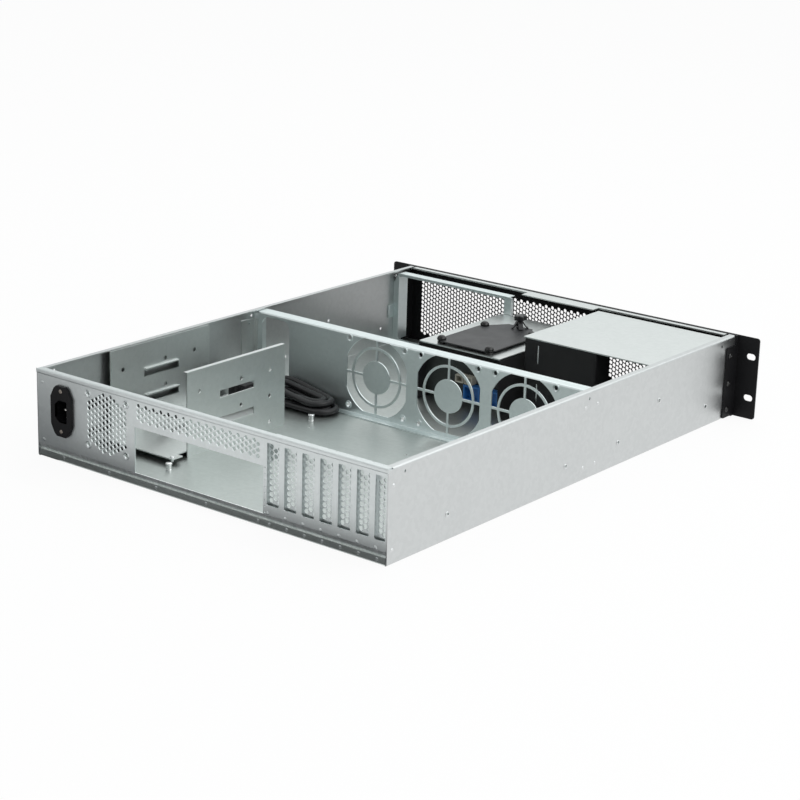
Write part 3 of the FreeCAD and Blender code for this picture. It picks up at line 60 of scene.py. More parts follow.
# %% [markdown]
# ## Camera
# The photograph looks down on the rear left corner with a long lens. The place of the camera was
# worked out from the case's own corners, so it is written here as numbers: azimuth and elevation
# of the view, a small roll, and a focal length for a 36 mm sensor.

# %% Camera at the photograph's view
VIEW_AZIMUTH = math.radians(217.88)
VIEW_ELEVATION = math.radians(17.33)
VIEW_ROLL = math.radians(1.69)
EYE = Vector((-1.2424, 1.5987, 0.6675))
LENS_MM, SENSOR_MM = 95.2, 36.0

camera_data = bpy.data.cameras.new("camera")
camera_data.lens = LENS_MM
camera_data.sensor_width = SENSOR_MM
camera = bpy.data.objects.new("camera", camera_data)
bpy.context.scene.collection.objects.link(camera)
back = Vector((math.sin(VIEW_AZIMUTH) * math.cos(VIEW_ELEVATION),
               -math.cos(VIEW_AZIMUTH) * math.cos(VIEW_ELEVATION), math.sin(VIEW_ELEVATION)))
camera.rotation_mode = "QUATERNION"
camera.rotation_quaternion = (-back).to_track_quat("-Z", "Y") @ Quaternion((0, 0, 1), VIEW_ROLL)
camera.location = EYE
bpy.context.scene.camera = camera
print("camera at", [round(v, 3) for v in EYE], "lens", LENS_MM)

# %% [markdown]
# ## Mains lead
# A round black lead leaves the boot of the inlet, sags to the floor between the drive plates and
# the side wall, and runs forward to a folded bundle in front of the partition. A NURBS curve is
# the natural tool: a few control points give one smooth line, and its bevel makes the jacket. Each
# point carries the jacket's radius, which the bevel multiplies by its depth of 1.
# The bundle is four long turns of the same spline. They differ in size and height, so that they
# lie on and beside each other as a hand-folded lead does. The free end goes into its connector.

# %% Lead: route, folded turns and the end that goes into the connector
LEAD_POINTS = ((179.5, -44, 51.7), (179.3, -66, 50.2), (177.5, -92, 40.5), (173.5, -118, 26.5),
               (167.5, -146, 15.0), (161.5, -178, 11.9), (158.5, -212, 12.4), (160.5, -243, 15.2))
LEAD_D = 6.8
# One row per turn: left end, right end, half width, and the height where it starts at the left,
# at the right end, and where it comes back to the left.
TURNS = ((168.4, 92.5, 14.6, 22.5, 12.9, 20.5), (160.8, 100.4, 7.7, 20.5, 13.3, 13.4),
         (160.0, 94.6, 7.7, 13.1, 5.8, 5.8), (168.0, 85.6, 14.6, 5.8, 5.8, 5.8))
HANK_MIDDLE_Y = -287.0
# Angles of the points round each fold, in degrees.
RIGHT_FOLD, LEFT_FOLD = (54, 18, -18, -54), (60, 20, -20, -56)
RUN_STEPS = 4
LEAD_ENTRY = ((164.4, -262.0, 17.6), (167.6, -277.0, 20.8))
LEAD_EXIT = ((133.0, -272.6, 5.9), (148.0, -270.4, 7.0), (160.5, -266.6, 9.2), (172.5, -266.0, 10.9))


def end_fold(angles, centre_x, half, turned, z):
    """Points round the end of a turn; turned is 0 at the left end and 180 at the right."""
    spots = []
    for angle in angles:
        theta = math.radians(angle - turned)
        spots.append((centre_x + half * math.cos(theta), HANK_MIDDLE_Y + half * math.sin(theta), z))
    return spots


def turn_points(left, right, half, start_z, right_z, end_z):
    """Points of one turn: out along its front side, round the right fold and back along its rear side."""
    near, far = left - half, right + half
    points = end_fold(LEFT_FOLD, near, half, 0, start_z)
    for k in range(RUN_STEPS + 1):
        t = k / RUN_STEPS
        points.append((near + (far - near) * t, HANK_MIDDLE_Y - half, start_z + (right_z - start_z) * t))
    points += end_fold(RIGHT_FOLD, far, half, 180, right_z)
    for k in range(RUN_STEPS):
        t = k / RUN_STEPS
        points.append((far + (near - far) * t, HANK_MIDDLE_Y + half, right_z + (end_z - right_z) * t))
    return points


lead_points = list(LEAD_POINTS) + list(LEAD_ENTRY)
for number, turn in enumerate(TURNS):
    lead_points += turn_points(*turn)[1 if number == 0 else 0:]
lead_points = lead_points[:-2] + list(LEAD_EXIT)

lead_curve = bpy.data.curves.new("mains_lead", "CURVE")
lead_curve.dimensions = "3D"
lead_line = lead_curve.splines.new("NURBS")
lead_line.points.add(len(lead_points) - 1)
for control, spot in zip(lead_line.points, lead_points):
    control.co = (*at(*spot), 1.0)
    control.radius = LEAD_D / 2 * MM
lead_line.order_u = 3
lead_line.use_endpoint_u = True
lead_line.resolution_u = 8
lead_curve.bevel_depth = 1.0
lead_curve.bevel_resolution = 5
lead_curve.use_fill_caps = True
lead = bpy.data.objects.new("mains_lead", lead_curve)
bpy.context.scene.collection.objects.link(lead)
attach(lead, CASE)
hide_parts("lead_run", "lead_hank")
print("lead has", len(lead_points), "control points")

# %% [markdown]
# ## Floor, world and lamps
# A plain pale studio. Light Path makes the floor white for the camera and for what the metal
# mirrors, while diffuse light still falls on it as on real paper, so the case keeps its shadow.
# The floor reaches far out, so every view that looks down sees it behind the case. The world is
# bright towards the front left and above, and falls off behind the right side, so the sheet metal
# shows the soft change of tone that real sheet shows in a studio.

# %% Floor, world and lamps
bpy.context.scene.view_settings.view_transform = "Standard"


def node_material(name):
    """A material with an empty tree, its output and a Principled shader."""
    made = bpy.data.materials.new(name)
    made.use_nodes = True
    tree = made.node_tree
    tree.nodes.clear()
    out = tree.nodes.new("ShaderNodeOutputMaterial")
    shader = tree.nodes.new("ShaderNodeBsdfPrincipled")
    tree.links.new(shader.outputs["BSDF"], out.inputs["Surface"])
    return made, tree, shader


FLOOR_SIZE, FLOOR_DROP = 60.0, 0.0002
FLOOR_GREY, FLOOR_WHITE = 0.82, 0.93
floor_mesh = bpy.data.meshes.new("studio_floor")
floor_bm = bmesh.new()
bmesh.ops.create_grid(floor_bm, x_segments=1, y_segments=1, size=FLOOR_SIZE / 2)
floor_bm.to_mesh(floor_mesh)
floor_bm.free()
floor = bpy.data.objects.new("studio_floor", floor_mesh)
bpy.context.scene.collection.objects.link(floor)
floor.location.z = -FLOOR_DROP

floor_finish, tree, shader = node_material("studio_floor")
shader.inputs["Base Color"].default_value = (FLOOR_GREY, FLOOR_GREY, FLOOR_GREY, 1)
shader.inputs["Roughness"].default_value = 0.6
white = tree.nodes.new("ShaderNodeEmission")
white.inputs["Color"].default_value = (1, 1, 1, 1)
white.inputs["Strength"].default_value = 1.0
path = tree.nodes.new("ShaderNodeLightPath")
blend = tree.nodes.new("ShaderNodeMixShader")
seen = path.outputs["Is Camera Ray"]
for ray in ("Is Glossy Ray", "Is Transmission Ray"):
    either = tree.nodes.new("ShaderNodeMath")
    either.operation = "MAXIMUM"
    tree.links.new(seen, either.inputs[0])
    tree.links.new(path.outputs[ray], either.inputs[1])
    seen = either.outputs[0]
share = tree.nodes.new("ShaderNodeMath")
share.operation = "MULTIPLY"
share.inputs[1].default_value = FLOOR_WHITE
tree.links.new(seen, share.inputs[0])
tree.links.new(share.outputs[0], blend.inputs["Fac"])
tree.links.new(shader.outputs["BSDF"], blend.inputs[1])
tree.links.new(white.outputs["Emission"], blend.inputs[2])
tree.links.new(blend.outputs["Shader"], tree.nodes["Material Output"].inputs["Surface"])
floor_mesh.materials.append(floor_finish)

# The sky's brightest side, and its strength between two values of the slope towards that side.
BRIGHT_SIDE = (-0.25, -0.83, 0.50)
SKY_RANGE, SKY_LEVEL = (-0.7, 0.75), (0.25, 0.90)
world = bpy.data.worlds.new("studio")
world.use_nodes = True
bpy.context.scene.world = world
sky = world.node_tree
sky.nodes.clear()
sky_out = sky.nodes.new("ShaderNodeOutputWorld")
soft = sky.nodes.new("ShaderNodeBackground")
heading = sky.nodes.new("ShaderNodeTexCoord")
towards = sky.nodes.new("ShaderNodeVectorMath")
towards.operation = "DOT_PRODUCT"
towards.inputs[1].default_value = BRIGHT_SIDE
level = sky.nodes.new("ShaderNodeMapRange")
for socket, value in zip(("From Min", "From Max", "To Min", "To Max"), SKY_RANGE + SKY_LEVEL):
    level.inputs[socket].default_value = value
sky.links.new(heading.outputs["Generated"], towards.inputs[0])
sky.links.new(towards.outputs["Value"], level.inputs["Value"])
sky.links.new(level.outputs["Result"], soft.inputs["Strength"])
soft.inputs["Color"].default_value = (0.97, 1.0, 1.0, 1)
sky.links.new(soft.outputs["Background"], sky_out.inputs["Surface"])


def soft_lamp(name, place, aim, size, power):
    """A rectangular lamp at a place, aimed at a point, with its size in metres and power in watts."""
    lamp_data = bpy.data.lights.new(name, "AREA")
    lamp_data.shape = "RECTANGLE"
    lamp_data.size, lamp_data.size_y = size
    lamp_data.energy = power
    lamp = bpy.data.objects.new(name, lamp_data)
    bpy.context.scene.collection.objects.link(lamp)
    lamp.location = place
    lamp.rotation_mode = "QUATERNION"
    lamp.rotation_quaternion = (Vector(aim) - Vector(place)).to_track_quat("-Z", "Y")
    print("lamp", name, power, "W")
    return lamp


soft_lamp("key_lamp", (-1.6, -0.1, 1.3), (-0.2, 0, 0), (2.4, 1.8), 17)
soft_lamp("rear_fill", (0.9, 1.3, 1.0), (0, 0, 0), (1.2, 1.0), 3)
soft_lamp("top_lamp", (0.1, -1.2, 2.0), (0, 0, 0), (3.4, 2.4), 17)

# A dark card lies along the foot of the rear wall, out of the camera's sight and seen only in what
# the metal mirrors. It is painted shade: it stands in for the shade on the floor next to the case's
# foot, and darkens the lower edge of the flat metal. One more card, turned to the line in which the
# wall mirrors the floor, paints shade on the wall's end beside the inlet.
# For each patch: its middle in X and Y, its width and depth, all in metres, and its turn.
CARD_PATCHES = ((-0.065, 0.313, 0.30, 0.044, 0.0), (0.16, 0.322, 0.15, 0.062, 0.0),
                (0.357, 0.373, 0.20, 0.34, math.radians(-37.9)))
card_mesh = bpy.data.meshes.new("painted_shadow_card")
card_bm = bmesh.new()
for middle_x, middle_y, width, depth, turn in CARD_PATCHES:
    patch = bmesh.ops.create_grid(card_bm, x_segments=1, y_segments=1, size=0.5)["verts"]
    bmesh.ops.scale(card_bm, vec=(width, depth, 1), verts=patch)
    bmesh.ops.rotate(card_bm, cent=(0, 0, 0), matrix=Matrix.Rotation(turn, 3, "Z"), verts=patch)
    bmesh.ops.translate(card_bm, vec=(middle_x, middle_y, 0.0), verts=patch)
card_bm.to_mesh(card_mesh)
card_bm.free()
card = bpy.data.objects.new("painted_shadow_card", card_mesh)
bpy.context.scene.collection.objects.link(card)
card.visible_camera = False
card.visible_shadow = False
card.visible_diffuse = False
card_finish, tree, shader = node_material("painted_shadow_card")
shader.inputs["Base Color"].default_value = (0.15, 0.15, 0.155, 1)
shader.inputs["Roughness"].default_value = 0.9
card_mesh.materials.append(card_finish)

# %% [markdown]
# ## Finishes
# Every finish is a small node tree that reads Object coordinates, which are metres here. The
# galvanised sheet is a metal with fine soft zinc crystals, rolling marks along one axis and a
# little waviness. It comes in several copies whose tones are painted lighter or darker for the
# light and shade that falls on each surface. The black parts are powder coat with its fine orange
# peel. Moulded parts vary a little in tone and roughness, so that no surface is one flat colour.

# %% Building blocks for the finishes
# Scales of the patterns, in repeats per metre.
CRYSTALS, WAVES, ROLLING = 260.0, 30.0, 420.0
PEEL, POWDER_TONES = 1400.0, 60.0
MOULD_GRAIN, JACKET_GRAIN, MOULD_TONES = 900.0, 500.0, 45.0
TURNING = 700.0
# Depth of the fine relief in metres, and its strength.
ZINC_RELIEF, POWDER_RELIEF = (0.00006, 0.35), (0.00008, 0.5)
MOULD_RELIEF, TURNED_RELIEF = (0.00003, 0.4), (0.00003, 0.3)
# Share of the waves in the tone of zinc, beside its crystals.
WAVE_SHARE = 0.55


def noise(tree, coords, scale, detail=3.0, stretch=None):
    """Noise on Object coordinates, stretched along an axis if asked."""
    texture = tree.nodes.new("ShaderNodeTexNoise")
    texture.inputs["Scale"].default_value = scale
    texture.inputs["Detail"].default_value = detail
    source = coords.outputs["Object"]
    if stretch:
        mapping = tree.nodes.new("ShaderNodeMapping")
        mapping.inputs["Scale"].default_value = stretch
        tree.links.new(source, mapping.inputs["Vector"])
        source = mapping.outputs["Vector"]
    tree.links.new(source, texture.inputs["Vector"])
    return texture.outputs["Fac"]


def ranged(tree, value, low, high, from_low=0.3, from_high=0.7):
    """A value from one range fitted into another."""
    fit = tree.nodes.new("ShaderNodeMapRange")
    fit.inputs["From Min"].default_value = from_low
    fit.inputs["From Max"].default_value = from_high
    fit.inputs["To Min"].default_value = low
    fit.inputs["To Max"].default_value = high
    tree.links.new(value, fit.inputs["Value"])
    return fit.outputs["Result"]


def tones(tree, value, dark, light):
    """Two tones of a colour, mixed by a value."""
    mix = tree.nodes.new("ShaderNodeMix")
    mix.data_type = "RGBA"
    mix.inputs["A"].default_value = (*dark, 1)
    mix.inputs["B"].default_value = (*light, 1)
    tree.links.new(value, mix.inputs["Factor"])
    return mix.outputs["Result"]


def relief(tree, shader, height, depth, strength):
    """Fine relief in metres, from a height value."""
    bump = tree.nodes.new("ShaderNodeBump")
    bump.inputs["Distance"].default_value = depth
    bump.inputs["Strength"].default_value = strength
    tree.links.new(height, bump.inputs["Height"])
    tree.links.new(bump.outputs["Normal"], shader.inputs["Normal"])


def zinc(name, dark, light, rough, grain):
    """Galvanised sheet: crystals, rolling marks and soft waviness."""
    made, tree, shader = node_material(name)
    coords = tree.nodes.new("ShaderNodeTexCoord")
    crystals = tree.nodes.new("ShaderNodeTexVoronoi")
    crystals.inputs["Scale"].default_value = CRYSTALS
    waves = noise(tree, coords, WAVES, 4.0)
    tree.links.new(coords.outputs["Object"], crystals.inputs["Vector"])
    grey = tree.nodes.new("ShaderNodeSeparateColor")
    tree.links.new(crystals.outputs["Color"], grey.inputs["Color"])
    both = tree.nodes.new("ShaderNodeMix")
    both.inputs["Factor"].default_value = WAVE_SHARE
    tree.links.new(grey.outputs["Red"], both.inputs["A"])
    tree.links.new(waves, both.inputs["B"])
    tree.links.new(tones(tree, ranged(tree, both.outputs["Result"], 0.0, 1.0), dark, light),
                   shader.inputs["Base Color"])
    shader.inputs["Metallic"].default_value = 1.0
    marks = noise(tree, coords, ROLLING, 2.0, grain)
    tree.links.new(ranged(tree, marks, rough[0], rough[1], 0.25, 0.75), shader.inputs["Roughness"])
    relief(tree, shader, marks, *ZINC_RELIEF)
    return made


def powder(name, dark, light, rough, gloss=0.3):
    """Fine satin powder coat."""
    made, tree, shader = node_material(name)
    coords = tree.nodes.new("ShaderNodeTexCoord")
    peel = noise(tree, coords, PEEL, 2.0)
    broad = noise(tree, coords, POWDER_TONES, 3.0)
    tree.links.new(tones(tree, broad, dark, light), shader.inputs["Base Color"])
    tree.links.new(ranged(tree, broad, rough[0], rough[1]), shader.inputs["Roughness"])
    shader.inputs["Specular IOR Level"].default_value = gloss
    relief(tree, shader, peel, *POWDER_RELIEF)
    return made


def moulded(name, dark, light, rough, grain_scale=MOULD_GRAIN):
    """Moulded plastic or rubber with a fine grain."""
    made, tree, shader = node_material(name)
    coords = tree.nodes.new("ShaderNodeTexCoord")
    grain = noise(tree, coords, grain_scale, 2.0)
    broad = noise(tree, coords, MOULD_TONES, 3.0)
    tree.links.new(tones(tree, broad, dark, light), shader.inputs["Base Color"])
    tree.links.new(ranged(tree, grain, rough[0], rough[1]), shader.inputs["Roughness"])
    relief(tree, shader, grain, *MOULD_RELIEF)
    return made


def plated(name, dark, light, rough):
    """Plated hardware: bright metal with faint turning marks."""
    made, tree, shader = node_material(name)
    coords = tree.nodes.new("ShaderNodeTexCoord")
    marks = noise(tree, coords, TURNING, 2.0)
    tree.links.new(tones(tree, marks, dark, light), shader.inputs["Base Color"])
    tree.links.new(ranged(tree, marks, rough[0], rough[1]), shader.inputs["Roughness"])
    shader.inputs["Metallic"].default_value = 1.0
    relief(tree, shader, marks, *TURNED_RELIEF)
    return made


print("finish helpers ready")

# %% Finishes of the case
ALONG_X, ALONG_Y = (0.06, 1.0, 1.0), (1.0, 0.06, 1.0)
# Dark and light tone, low and high roughness, and the way that the rolling marks run.
# All rows are the same galvanised sheet. The copies for the side walls and the floor pan are painted darker,
# as painted shade; the rear wall's copy is tinted bluer, as a painted reflection; and the copies for the
# partition, the bay frame and the rear wall's low fold are painted lighter, as painted light.
SHEET_METALS = (
    ("galvanised_sheet", (0.67, 0.70, 0.69), (0.70, 0.73, 0.72), (0.32, 0.38), ALONG_Y),
    ("zinc_side", (0.59, 0.61, 0.61), (0.62, 0.64, 0.64), (0.32, 0.38), ALONG_Y),
    ("zinc_rear", (0.65, 0.69, 0.69), (0.68, 0.72, 0.72), (0.36, 0.43), ALONG_X),
    ("zinc_inner", (0.73, 0.80, 0.80), (0.76, 0.83, 0.83), (0.34, 0.42), ALONG_X),
    ("zinc_foot", (0.80, 0.84, 0.83), (0.96, 0.98, 0.98), (0.30, 0.46), ALONG_X),
    ("zinc_floor", (0.50, 0.54, 0.525), (0.53, 0.57, 0.555), (0.36, 0.44), ALONG_X),
)
# Dark and light tone, low and high roughness, and gloss where it isn't the usual one.
POWDER_COATS = (
    ("plate_black", (0.030, 0.031, 0.033), (0.044, 0.045, 0.047), (0.40, 0.50), 0.40),
    ("black_ear", (0.008, 0.008, 0.009), (0.012, 0.012, 0.013), (0.40, 0.50), 0.14),
    ("black_steel", (0.012, 0.012, 0.013), (0.022, 0.022, 0.023), (0.42, 0.52)),
    ("black_front", (0.010, 0.010, 0.011), (0.016, 0.016, 0.017), (0.48, 0.58), 0.12),
    ("inlet_black", (0.006, 0.006, 0.007), (0.010, 0.010, 0.011), (0.30, 0.40), 0.20),
)
# Dark and light tone, low and high roughness.
PLATINGS = (
    ("screw_steel", (0.60, 0.62, 0.62), (0.76, 0.78, 0.78), (0.24, 0.36)),
    ("bright_stud", (0.78, 0.79, 0.79), (0.88, 0.88, 0.88), (0.10, 0.20)),
    ("black_screw", (0.04, 0.04, 0.04), (0.08, 0.08, 0.08), (0.30, 0.42)),
    ("contact_metal", (0.62, 0.61, 0.58), (0.76, 0.75, 0.72), (0.20, 0.32)),
    ("inlet_screw", (0.28, 0.25, 0.22), (0.40, 0.36, 0.32), (0.26, 0.38)),
)
# Dark and light tone, low and high roughness, and the grain where it isn't the usual one.
MOULDINGS = (
    ("black_plastic", (0.012, 0.012, 0.013), (0.022, 0.022, 0.024), (0.34, 0.46)),
    ("board", (0.014, 0.017, 0.016), (0.026, 0.030, 0.028), (0.32, 0.44)),
    ("blue_plastic", (0.015, 0.10, 0.33), (0.03, 0.16, 0.42), (0.30, 0.42)),
    ("beige_plastic", (0.36, 0.34, 0.29), (0.46, 0.44, 0.38), (0.40, 0.52)),
    ("grommet_rubber", (0.010, 0.010, 0.010), (0.018, 0.018, 0.018), (0.50, 0.64)),
    ("grommet_gloss", (0.005, 0.005, 0.005), (0.008, 0.008, 0.008), (0.16, 0.24)),
    ("button_plastic", (0.03, 0.03, 0.03), (0.05, 0.05, 0.05), (0.28, 0.38)),
    ("lens_plastic", (0.50, 0.56, 0.50), (0.62, 0.68, 0.62), (0.14, 0.24)),
    ("lead_jacket", (0.010, 0.010, 0.011), (0.020, 0.020, 0.022), (0.34, 0.46), JACKET_GRAIN),
)
FINISHES = {}
for make, table in ((zinc, SHEET_METALS), (powder, POWDER_COATS), (plated, PLATINGS), (moulded, MOULDINGS)):
    FINISHES.update({row[0]: make(*row) for row in table})
# CAD nodes with a finish of their own, among them the copies of the sheet with painted light and
# painted shade. The others take the finish that their material slot names.
OWN_FINISH = {"fan_wall": "zinc_inner", "bay_frame": "zinc_inner", "floor_pan": "zinc_floor",
              "side_wall_left": "zinc_side", "side_wall_right": "zinc_side", "slot_ledge": "zinc_rear",
              "rear_slot_end": "zinc_rear", "rear_band": "zinc_rear", "rear_vent_field": "zinc_rear",
              "rear_inlet_end": "zinc_rear", "rear_foot": "zinc_foot", "small_drive_plate": "plate_black",
              "front_panel": "black_front", "ear_left": "black_ear", "ear_right": "black_ear"}
SLOTS = 7
for number in range(SLOTS):
    OWN_FINISH["slot_cover_%d" % (number + 1)] = "zinc_rear"
slot_of = {part["node"]: part["material_slot"] for part in frame["record"]["subparts"]}


def dress(node):
    """Give a CAD node its finish, on its own material slots."""
    finish = FINISHES[OWN_FINISH.get(node, slot_of[node])]
    body = frame["nodes"][node]
    for holder in body.material_slots:
        holder.material = finish
    if not body.material_slots:
        body.data.materials.append(finish)


for node in frame["nodes"]:
    dress(node)
lead_curve.materials.append(FINISHES["lead_jacket"])
print("dressed", len(frame["nodes"]), "CAD nodes with", len(FINISHES), "finishes")

# %% [markdown]
# ## New pieces
# Each new piece starts as a bmesh. A round piece is a profile that is spun round its axis, and a
# punched sheet is an outline with holes that is filled and then extruded. One function turns a
# finished bmesh into a piece: it merges doubles, turns the faces outwards, shades it smooth up to
# its sharp edges, gives it a finish and lets it ride on the case.

# %% Helpers for new pieces
SHARP = math.radians(38)
MERGE = 1e-6
ACROSS, REARWARD, FORWARD, UP = (1, 0, 0), (0, 1, 0), (0, -1, 0), (0, 0, 1)
SIDES = (-1, 1)


def finish_piece(name, bm, finish, stands_for=(), body=CASE):
    """Turn a bmesh into a piece with a finish and a material slot, in place of the named CAD nodes."""
    bmesh.ops.remove_doubles(bm, verts=bm.verts, dist=MERGE)
    bmesh.ops.recalc_face_normals(bm, faces=bm.faces)
    mesh = bpy.data.meshes.new(name)
    bm.to_mesh(mesh)
    bm.free()
    mesh.shade_smooth()
    mesh.set_sharp_from_angle(angle=SHARP)
    mesh.materials.append(FINISHES[finish])
    piece = bpy.data.objects.new(name, mesh)
    bpy.context.scene.collection.objects.link(piece)
    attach(piece, body)
    if stands_for:
        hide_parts(*stands_for)
    print(name, len(mesh.polygons), "faces")
    return piece


def verts_of(geometry):
    """The vertices in what an operator made."""
    return [part for part in geometry if isinstance(part, bmesh.types.BMVert)]


def edges_of(geometry, ends):
    """The edges in what an operator made that lie between the given vertices."""
    edges = [part for part in geometry if isinstance(part, bmesh.types.BMEdge)]
    return [edge for edge in edges if all(vert in ends for vert in edge.verts)]


def faces_of(geometry):
    """The faces in what an operator made."""
    return [part for part in geometry if isinstance(part, bmesh.types.BMFace)]


def thicken(bm, faces, shift):
    """Extrude faces by a shift in millimetres."""
    pulled = bmesh.ops.extrude_face_region(bm, geom=faces)["geom"]
    bmesh.ops.translate(bm, vec=Vector(shift) * MM, verts=verts_of(pulled))
    return pulled


def placed(place, axis=UP, roll=0.0):
    """The matrix that carries a shape from the origin to a place, its Z along the axis."""
    turn = Vector(UP).rotation_difference(Vector(axis)).to_matrix().to_4x4()
    return Matrix.Translation(at(*place)) @ turn @ Matrix.Rotation(roll, 4, "Z")


def spun(bm, profile, steps):
    """Spin a profile of (radius, height) in millimetres round the Z axis; returns its points."""
    before = set(bm.verts)
    line = [bm.verts.new((radius * MM, 0, height * MM)) for radius, height in profile]
    edges = [bm.edges.new(pair) for pair in zip(line, line[1:])]
    bmesh.ops.spin(bm, geom=line + edges, cent=(0, 0, 0), axis=UP, angle=2 * math.pi, steps=steps,
                   use_merge=True)
    return [vert for vert in bm.verts if vert not in before]


def turned(bm, profile, place, axis=UP, steps=20):
    """Spin a profile and carry it to a place, its Z along the axis."""
    bmesh.ops.transform(bm, matrix=placed(place, axis), verts=spun(bm, profile, steps))


def slab(bm, low, high, soften=0.25):
    """A block between two corners in millimetres, its edges softened."""
    size = [(b - a) * MM for a, b in zip(low, high)]
    middle = at(*[(a + b) / 2 for a, b in zip(low, high)])
    block = Matrix.Translation(middle) @ Matrix.Diagonal((*size, 1))
    made = bmesh.ops.create_cube(bm, size=1.0, matrix=block)
    edges = {edge for vert in made["verts"] for edge in vert.link_edges}
    if soften:
        bmesh.ops.bevel(bm, geom=list(edges), offset=soften * MM, segments=2, profile=0.5,
                        affect="EDGES", clamp_overlap=True, material=-1)


print("piece helpers ready")

# %% [markdown]
# ## Front panel
# The real front is one sheet with a field of small hexagonal holes, a plain strip for the buttons
# at one end, and lips folded back on all sides. All outlines are drawn flat with circle operators
# of four, six or many segments. Triangle fill leaves the inner ones open, so the face comes out
# punched, and an extrusion gives it its thickness.

# %% Front panel: a fine punched field, button holes and folded lips
FRONT_Y = -581.0
SHEET = 1.2
HALF_CASE, CASE_TOP = 215.0, 87.5
MESH_PITCH, MESH_HOLE = 4.85, 4.0
MESH_X, MESH_Z = (-119.0, 203.0), (7.0, 77.0)
BUTTON_X, POWER_Z, RESET_Z, LENS_X = -145.0, 62.0, 44.0, -172.0
POWER_HOLE_R, RESET_HOLE_R, LENS_HOLE_R = 5.85, 3.35, 1.6
ROUND_HOLES = ((BUTTON_X, POWER_Z, POWER_HOLE_R), (BUTTON_X, RESET_Z, RESET_HOLE_R),
               (LENS_X, POWER_Z, LENS_HOLE_R), (LENS_X, RESET_Z, LENS_HOLE_R))
USB_X, USB_Z, USB_W, USB_H = -158.5, (16.0, 28.0), 13.4, 6.0
LIP, SIDE_LIP, SIDE_TOP, LIP_SINK = 6.0, 20.0, 78.5, 0.2
SIDE_INSIDE = 213.7
ROUND_STEPS = 24
# A circle of four segments, turned by 45 degrees, with this radius is a square with sides of 1.
SQUARE_R, SQUARE_TURN = math.sqrt(0.5), math.pi / 4


def upright(x, z, y, turn=0.0, wide=1.0, high=1.0):
    """A matrix for an outline that stands in the wall plane at depth y, in millimetres."""
    stand = Matrix.Rotation(math.pi / 2, 4, "X")
    stretch = Matrix.Diagonal((wide, high, 1, 1))
    return Matrix.Translation(at(x, y, z)) @ stand @ stretch @ Matrix.Rotation(turn, 4, "Z")


def outline(bm, x, z, y, radius, segments, turn=0.0, wide=1.0, high=1.0):
    """A closed ring of edges in the wall plane."""
    bmesh.ops.create_circle(bm, cap_ends=False, radius=radius * MM, segments=segments,
                            matrix=upright(x, z, y, turn, wide, high))


def box_outline(bm, x, z, y, wide, high):
    """A rectangular ring of edges in the wall plane."""
    outline(bm, x, z, y, SQUARE_R, 4, SQUARE_TURN, wide, high)


panel = bmesh.new()
box_outline(panel, 0, CASE_TOP / 2, FRONT_Y, 2 * HALF_CASE, CASE_TOP)
column = MESH_PITCH * math.sqrt(3) / 2
holes = 0
for i in range(int((MESH_X[1] - MESH_X[0]) / column)):
    x = MESH_X[0] + (i + 0.5) * column
    z = MESH_Z[0] + MESH_PITCH * (1.0 if i % 2 else 0.5)
    while z < MESH_Z[1] - MESH_PITCH / 2:
        outline(panel, x, z, FRONT_Y, MESH_HOLE / math.sqrt(3), 6)
        z += MESH_PITCH
        holes += 1
for x, z, radius in ROUND_HOLES:
    outline(panel, x, z, FRONT_Y, radius, ROUND_STEPS)
for z in USB_Z:
    box_outline(panel, USB_X, z, FRONT_Y, USB_W, USB_H)
bmesh.ops.triangle_fill(panel, use_beauty=True, use_dissolve=False, edges=list(panel.edges))
thicken(panel, list(panel.faces), (0, SHEET, 0))
for low_z, high_z in ((CASE_TOP - SHEET, CASE_TOP), (0, SHEET)):
    slab(panel, (-HALF_CASE, FRONT_Y + LIP_SINK, low_z), (HALF_CASE, FRONT_Y + LIP, high_z), soften=0.3)
for side in SIDES:
    ends = sorted((side * SIDE_INSIDE, side * (SIDE_INSIDE - SHEET)))
    slab(panel, (ends[0], FRONT_Y + LIP_SINK, 2 * SHEET), (ends[1], FRONT_Y + SIDE_LIP, SIDE_TOP),
         soften=0.2)
finish_piece("front_mesh_panel", panel, "black_front", ["front_panel"])
print("holes in the field", holes)

# %% [markdown]
# ## Pressed rims and bumps of the sheet metal
# Screw holes of the fan places are pressed, so each has a shallow raised rim. The slots, the low
# fold and the left end of the rear wall carry small pressed bumps. Each is a short profile spun
# round the hole's axis, closed underneath and sunk a little into its sheet, which is how a
# pressed mark meets the sheet.

# %% Rims round fan holes and bumps of the rear wall
RIM = ((2.25, -0.1), (2.5, 0.15), (3.4, 0.6), (3.9, 0.45), (4.2, -0.1), (2.25, -0.1))
FAN_MIDDLES, FAN_Z, FAN_REACH, FAN_WALL_Y = (46.0, -46.0, -138.0), 45.6, 35.75, -306.5
VENT_X, VENT_Z, VENT_REACH = 120.5, 51.5, 25.0
BUMP = ((0, 0.75), (0.9, 0.65), (1.6, 0.35), (2.0, -0.1), (0, -0.1))
LOW_BUMP = ((0, 0.4), (0.9, 0.32), (1.5, 0.15), (1.8, -0.1), (0, -0.1))
BUMP_STEPS = 16
SLOT_EDGE, SLOT_PITCH = -79.0, 20.32
